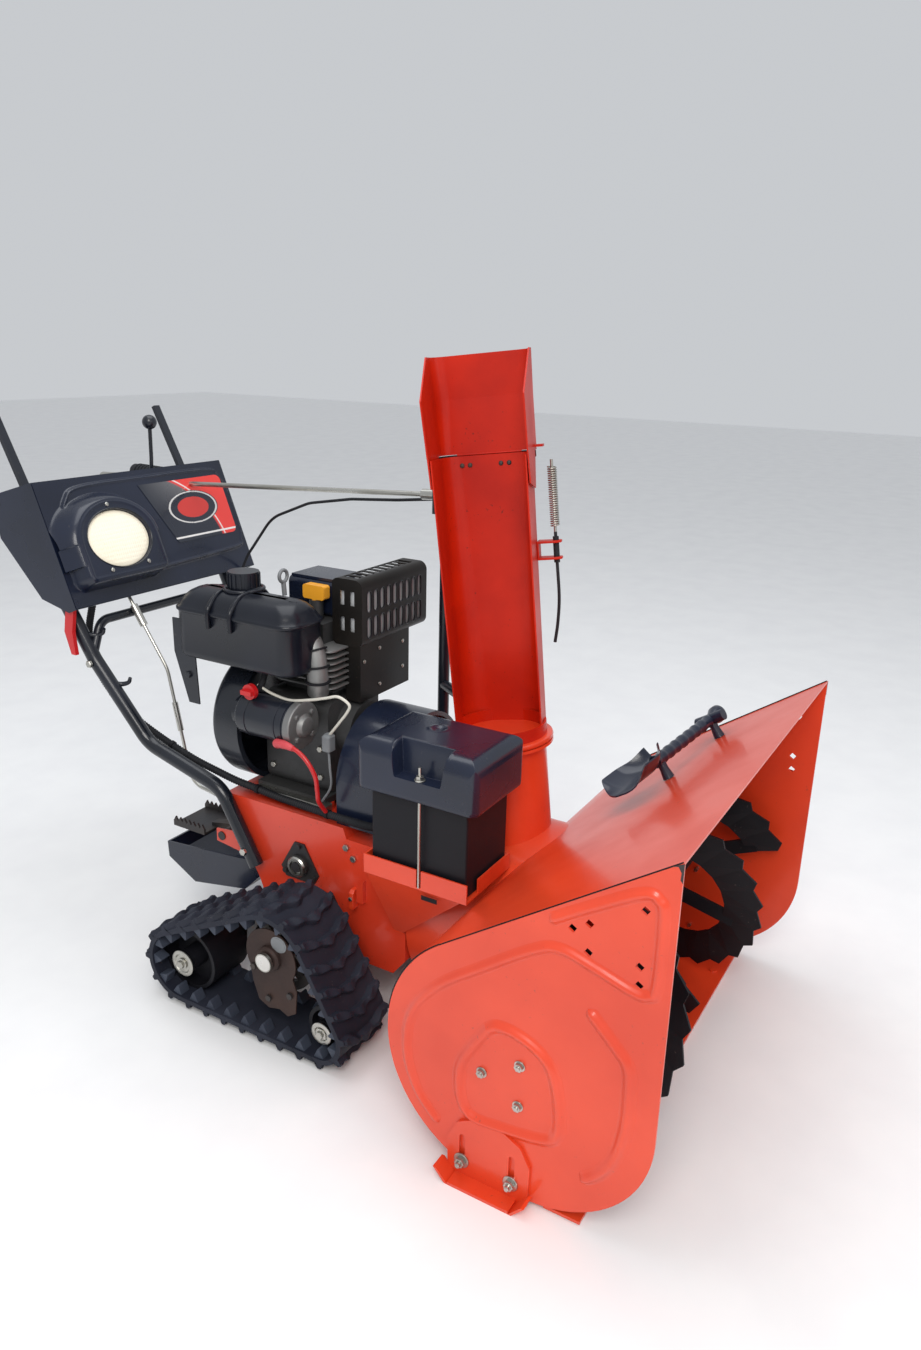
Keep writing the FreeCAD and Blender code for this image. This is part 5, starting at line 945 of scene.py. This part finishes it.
def track_surface(side):
    """Rubber belt: a ring whose outer face rises by a height over (t, w), t once per lug and w from -1 to 1 across.

    A lug is a smooth step in the distance from the nearest chevron line, its top waved by cos w, with round knobs on
    it and a groove between lugs in the middle. The outer face is never below the ground.
    """
    around, across = 832, 44
    stations = belt_line(0, around)
    x = np.linspace(BELT_NEAR, BELT_FAR, across)
    middle, reach = (BELT_FAR + BELT_NEAR) / 2, (BELT_FAR - BELT_NEAR) / 2
    t, w = np.meshgrid(np.arange(around) / around * LUGS, (x - middle) / reach, indexing="ij")
    chevron = 0.42 * np.abs(w) ** 1.2 + 0.05 * np.sign(w) * soft_step((np.abs(w) - 0.3) * 3)
    phase = np.abs((t + chevron - 0.21 + 0.5) % 1.0 - 0.5)
    half = 0.20 + 0.05 * np.cos(w * 9.4)
    lug = soft_step((half - phase) / 0.075)
    height = lug * (9.6 + 3.4 * np.cos(w * 6.3) ** 2 * (np.abs(w) < 0.95))
    knob = np.exp(-((np.abs(w) - 0.42) / 0.10) ** 2 - (phase / 0.16) ** 2) * 1.2
    groove = 1.2 * np.exp(-(w / 0.05) ** 2)
    height = np.clip(height + knob - groove * (1 - lug), 0.2, 13.8)
    angle = stations[:, 2][:, None]
    y = stations[:, 0][:, None] + height * np.cos(angle)
    z = np.maximum(stations[:, 1][:, None] + height * np.sin(angle), 0.0)
    outer = np.stack([np.broadcast_to(side * x[None], y.shape), y, z], -1)
    line = belt_line(BELT_INSIDE, around)
    inner = [np.column_stack([np.full(around, side * edge), line[:, :2]])[:, None] for edge in (BELT_FAR, BELT_NEAR)]
    ring = np.concatenate([outer, *inner], axis=1)
    points = mm(ring.reshape(-1, 3))
    faces = grid_faces(around, across + 2, wrap_rows=True, wrap_columns=True)
    if side > 0:
        faces = turned(faces)
    return points, faces


def track_wedges(side):
    """Guide lugs along the belt's inner face, close to both edges: each a trapezium 22 mm wide drawn across."""
    shapes = []
    for y, z, a in belt_line(BELT_INSIDE, LUGS):
        out = np.array((math.cos(a), math.sin(a)))
        along = np.array((-math.sin(a), math.cos(a)))
        for x0, x1 in ((319, 341), (219, 241)):
            base = [np.array((y, z)) + along * d + out * 1.2 for d in (-11, 11)]
            tip = [np.array((y, z)) + along * d - out * 17 for d in (-1.6, 1.6)]
            profile = [base[0], base[1], tip[1], tip[0]]
            outline = mm([(side * x0, p[0], p[1]) for p in profile])
            shapes.append(slab(outline, np.array((side * (x1 - x0) / 1000, 0, 0))))
    return shapes


def oriented(shapes):
    """The same shapes with faces wound outward for convex bodies."""
    fixed = []
    for points, faces in shapes:
        centre = points.mean(0)
        wound = []
        for face in faces:
            a, b, c = points[face[0]], points[face[1]], points[face[2]]
            outward = np.cross(b - a, c - a).dot(points[face].mean(0) - centre) > 0
            wound.append(face if outward else face[::-1])
        fixed.append((points, wound))
    return fixed


def tracks():
    """Both rubber belts with their guide lugs, wheel hubs, axle caps, cover plates, badges and bolts."""
    for side, word in ((-1, "right"), (1, "left")):
        piece("belt_" + word, [track_surface(side)], RUBBER, "track_carriage",
              stands_for=("track_belt_" + word,), sharp=28)
        # The guide lugs take the paler, bluer rubber: a painted highlight.
        piece("belt_wedges_" + word, oriented(track_wedges(side)), RUBBER_PAINTED_HIGHLIGHT, "track_carriage",
              sharp=30, bevel=0.0008)
        out = (side, 0, 0)
        for y, z, name in ((240, 86, "rear"), (-84, 65, "front")):
            hub = mm((side * 331.0, y, z))
            r = 0.026 if name == "rear" else 0.021
            shapes = [lathe([(-0.002, r), (0, r), (0.0012, r - 0.002), (0.0012, r - 0.007), (-0.001, r - 0.009),
                             (-0.001, 0.010), (0.0006, 0.0095)], hub, out, 40),
                      lathe([(0, 0.0108), (0.0018, 0.0108), (0.0022, 0.010)], hub, out, 28),
                      hexagon(hub + np.array(out) * 0.002, out, 0.0078, 0.0055)]
            piece("hub_%s_%s" % (name, word), shapes, ZINC, "idler_%s_%s" % (name, word))
        cap = mm((side * 352.0, 22, 179))
        profile = [(-0.006, 0.015), (-0.001, 0.0158), (0, 0.015), (0.0004, 0.008), (0.0006, 0.001)]
        piece("axle_cap_" + word, [lathe(profile, cap, out, 36)], BRIGHT, "axle")
        arc = np.radians(np.linspace(-30, 210, 40))
        edge = [(22 + 55 * math.cos(a), 179 + 55 * math.sin(a)) for a in arc]
        edge += [(-34, 128), (-30, 84), (-12, 72), (6, 80), (30, 74), (52, 84), (64, 118)]
        plates = [slab(mm([(side * 329.4, y, z) for y, z in edge]), np.array((side * 0.003, 0, 0)))]
        profile = [(0, 0.024), (0.006, 0.0235), (0.010, 0.020), (0.010, 0.0145)]
        collar = lathe(profile, mm((side * 332.4, 22, 179)), out, 40)
        piece("track_plate_" + word, oriented(plates) + [collar], RUST, "track_carriage", bevel=0.0006)
        oval = np.linspace(0, TAU, 48, endpoint=False)
        badge = []
        for k, height in ((1.0, 0.0012), (0.82, 0.0018)):
            y, z = 2 + k * 17 * np.cos(oval), 212 + k * 15 * np.sin(oval)
            badge.append(slab(mm(np.stack([np.full(48, side * 332.5), y, z], -1)), np.array((side * height, 0, 0))))
        piece("track_badge_" + word, oriented(badge), GREY, "track_carriage", bevel=0.0004)
        bolts = [hexagon(mm((side * 332.5, y, z)), out, 0.0062, 0.0048) for y, z in ((60, 150), (-20, 118), (28, 96))]
        piece("track_plate_bolts_" + word, bolts, IRON, "track_carriage")


# ---------------------------------------------------------------- clean-out tool
def cleanout_tool():
    """Moulded clean-out shovel: a dished scoop, a ribbed handle and a cross grip.

    The scoop is a sheet over (s, t): s runs along it, t from -1 to 1 across its half width, and it rises with |t|.
    """
    a, b = np.array((-20.0, -478.0, 496.0)), np.array((350.0, -536.0, 535.0))
    way = (b - a) / np.linalg.norm(b - a)
    normal = np.array((0, 0.568, 0.823))
    up = normal.copy()
    up -= way * up.dot(way)
    up /= np.linalg.norm(up)
    side = np.cross(up, way)
    s, t = np.meshgrid(np.linspace(0, 1, 60), np.linspace(-1, 1, 41), indexing="ij")
    nose = np.sqrt(np.clip(1 - np.clip(1 - s * 3.2, 0, 1) ** 2, 0.05, 1))
    half = 50 * nose * (1 - 0.68 * soft_step((s - 0.55) / 0.45))
    dish = 27 * np.abs(t) ** 2.2 * soft_step(s * 4) + 9 * soft_step((s - 0.72) / 0.28)
    place = a + way * (s * 132 - 8)[..., None] + side * (t * half)[..., None] + up * (dish + 3)[..., None]
    under = place - up * 2.6
    rows, columns = s.shape
    top = (mm(place.reshape(-1, 3)), grid_faces(rows, columns))
    low = (mm(under.reshape(-1, 3)), turned(grid_faces(rows, columns)))
    edge = np.concatenate([np.arange(columns), np.arange(1, rows) * columns + columns - 1,
                           (rows - 1) * columns + np.arange(columns - 2, -1, -1), np.arange(rows - 2, 0, -1) * columns])
    count = len(edge)
    band = (np.concatenate([top[0][edge], low[0][edge]]), grid_faces(2, count, wrap_columns=True))
    shapes = [top, low, band]
    grip = []
    path = mm([a + way * d + up * 10 for d in np.linspace(112, 330, 60)])
    wave = 0.0105 + 0.0012 * (np.cos(np.linspace(0, TAU * 9, 60)) > 0.3)
    grip.append(sweep(path, wave, 24))
    tail = a + way * 318 + up * 10
    grip.append(sweep(smooth_path(mm([tail - side * 30 + way * 2, tail, tail + side * 30 + way * 2]), 24), 0.0105, 20))
    knob = a + way * 344 + up * 10
    grip.append(lathe([(-0.03, 0.009), (-0.014, 0.012), (-0.004, 0.0165), (0.006, 0.0165), (0.012, 0.011),
                       (0.0135, 0.003)], mm(knob), way, 32))
    for share in (0.34, 0.86):
        p = a + way * (370 * share)
        grip.append(lathe([(-0.030, 0.0105), (-0.012, 0.008), (0.004, 0.0085)], mm(p + up * 4), normal, 20))
    piece("shovel_scoop", shapes, NAVY, "chassis", stands_for=("cleanout_tool",), sharp=50)
    piece("shovel_handle", grip, NAVY, "chassis", sharp=45)


# ---------------------------------------------------------------- frame details
def frame_details():
    """A hook on the frame's side, the frame bolts, the bearing's flange ring and a black sheet of painted shade in the
    tray's slot.
    """
    hook = [slab(mm([(x, -36, z) for x, z in ((-167, 218), (-184, 218), (-184, 250), (-178, 256), (-167, 256))]),
                 (0, -0.009, 0))]
    piece("frame_hook", oriented(hook), CORAL, "chassis", bevel=0.0008)
    bolts = []
    for y, z in ((-20, 330), (-36, 312), (-92, 330)):
        bolts.append(hexagon(mm((-167.2, y, z)), (-1, 0, 0), 0.0066, 0.005))
    bolts.append(hexagon(mm((-184.2, -40.5, 240)), (-1, 0, 0), 0.0042, 0.003))
    piece("frame_bolts", bolts, ZINC, "chassis")
    ring = lathe([(0, 0.020), (0.004, 0.0205), (0.007, 0.018), (0.007, 0.0135), (0.003, 0.0125)],
                 mm((-176.5, 87, 264)), (-1, 0, 0), 40)
    piece("bearing_ring", [ring], ZINC, "chassis")
    # A thin black sheet over the tray's slot: painted shade inside the opening.
    slot = slab(mm([(-250.4, y, z) for y, z in ((-262, 335), (-232, 335), (-232, 343), (-262, 343))]), (0.0004, 0, 0))
    piece("tray_slot_painted_shade", oriented([slot]), MATT_BLACK, "chassis")


def foot_details():
    """The rolled flange of the ring at the chute's foot, turned about the chute's axis."""
    centre, _, _, axis = chute_frame()
    ring = lathe([(0.0006, 0.0885), (0.0018, 0.0905), (0.006, 0.0918), (0.0098, 0.0905), (0.0105, 0.0875),
                  (0.0104, 0.0822)], centre, axis, 96)
    piece("ring_flange", [ring], CORAL, "chute", sharp=50)


# ---------------------------------------------------------------- camera, lights and floor
CAMERA_ANGLES = (-59.83, 18.475, 1.398)
CAMERA_PLACE = (-1457.98, -997.86, 1198.07)
CAMERA_LENS = 26.767


def place_camera():
    """A wide view from the front right, a little above the engine."""
    azimuth, elevation, roll = np.radians(CAMERA_ANGLES)
    back = np.array((math.sin(azimuth) * math.cos(elevation), -math.cos(azimuth) * math.cos(elevation),
                     math.sin(elevation)))
    right = np.cross(-back, (0, 0, 1))
    right /= np.linalg.norm(right)
    up = np.cross(right, -back)
    across = right * math.cos(roll) + up * math.sin(roll)
    up = -right * math.sin(roll) + up * math.cos(roll)
    data = bpy.data.cameras.new("camera")
    data.lens = CAMERA_LENS
    data.sensor_width = 36.0
    data.sensor_fit = "AUTO"
    data.clip_start = 0.02
    camera = bpy.data.objects.new("camera", data)
    bpy.context.scene.collection.objects.link(camera)
    matrix = np.eye(4)
    matrix[:3, 0], matrix[:3, 1], matrix[:3, 2] = across, up, back
    matrix[:3, 3] = mm(CAMERA_PLACE)
    camera.matrix_world = Matrix(matrix.tolist())
    bpy.context.scene.camera = camera


def aim(thing, target):
    """Points an object's -Z at a target."""
    way = np.asarray(target, float) - np.array(thing.location)
    back = -way / np.linalg.norm(way)
    right = np.cross((0, 0, 1), back)
    right /= np.linalg.norm(right)
    matrix = np.eye(4)
    matrix[:3, 0], matrix[:3, 1], matrix[:3, 2] = right, np.cross(back, right), back
    matrix[:3, 3] = thing.location
    thing.matrix_world = Matrix(matrix.tolist())


def area_light(name, place, target, size, power, colour):
    """A square soft light."""
    data = bpy.data.lights.new(name, "AREA")
    data.shape = "SQUARE"
    data.size = size
    data.energy = power
    data.color = colour
    lamp = bpy.data.objects.new(name, data)
    lamp.location = place
    bpy.context.scene.collection.objects.link(lamp)
    aim(lamp, target)


def studio():
    """Pale floor, even sky light and three soft lights."""
    world = bpy.data.worlds.new("studio")
    world.use_nodes = True
    world.node_tree.nodes["Background"].inputs["Color"].default_value = (0.93, 0.96, 1.0, 1)
    world.node_tree.nodes["Background"].inputs["Strength"].default_value = 0.62
    bpy.context.scene.world = world
    bpy.context.scene.view_settings.view_transform = "Standard"
    area_light("key", (-2.6, -1.6, 3.0), (0, -0.2, 0.5), 1.8, 78, (1.0, 0.97, 0.93))
    area_light("top", (0.2, 0.2, 3.4), (0, 0, 0.6), 2.4, 44, (0.95, 0.97, 1.0))
    area_light("front", (-0.4, -3.4, 1.6), (0, -0.4, 0.4), 1.8, 12, (1.0, 0.98, 0.96))
    bpy.ops.mesh.primitive_plane_add(size=30, location=(0, 0, 0))
    floor = bpy.context.object
    floor.name = "floor"
    material = finish("floor", (0.90, 0.90, 0.90), (0.86, 0.86, 0.865), (0.55, 0.7), grain=(40, 0.02))
    floor.data.materials.append(material)


place_camera()
dress_cad()
housing_details()
dash_front()
dash_decal()
lens()
chute_details()
battery_lid()
tank_details()
engine_details()
guard_details()
conduit()
handle_details()
tracks()
cleanout_tool()
frame_details()
foot_details()
studio()
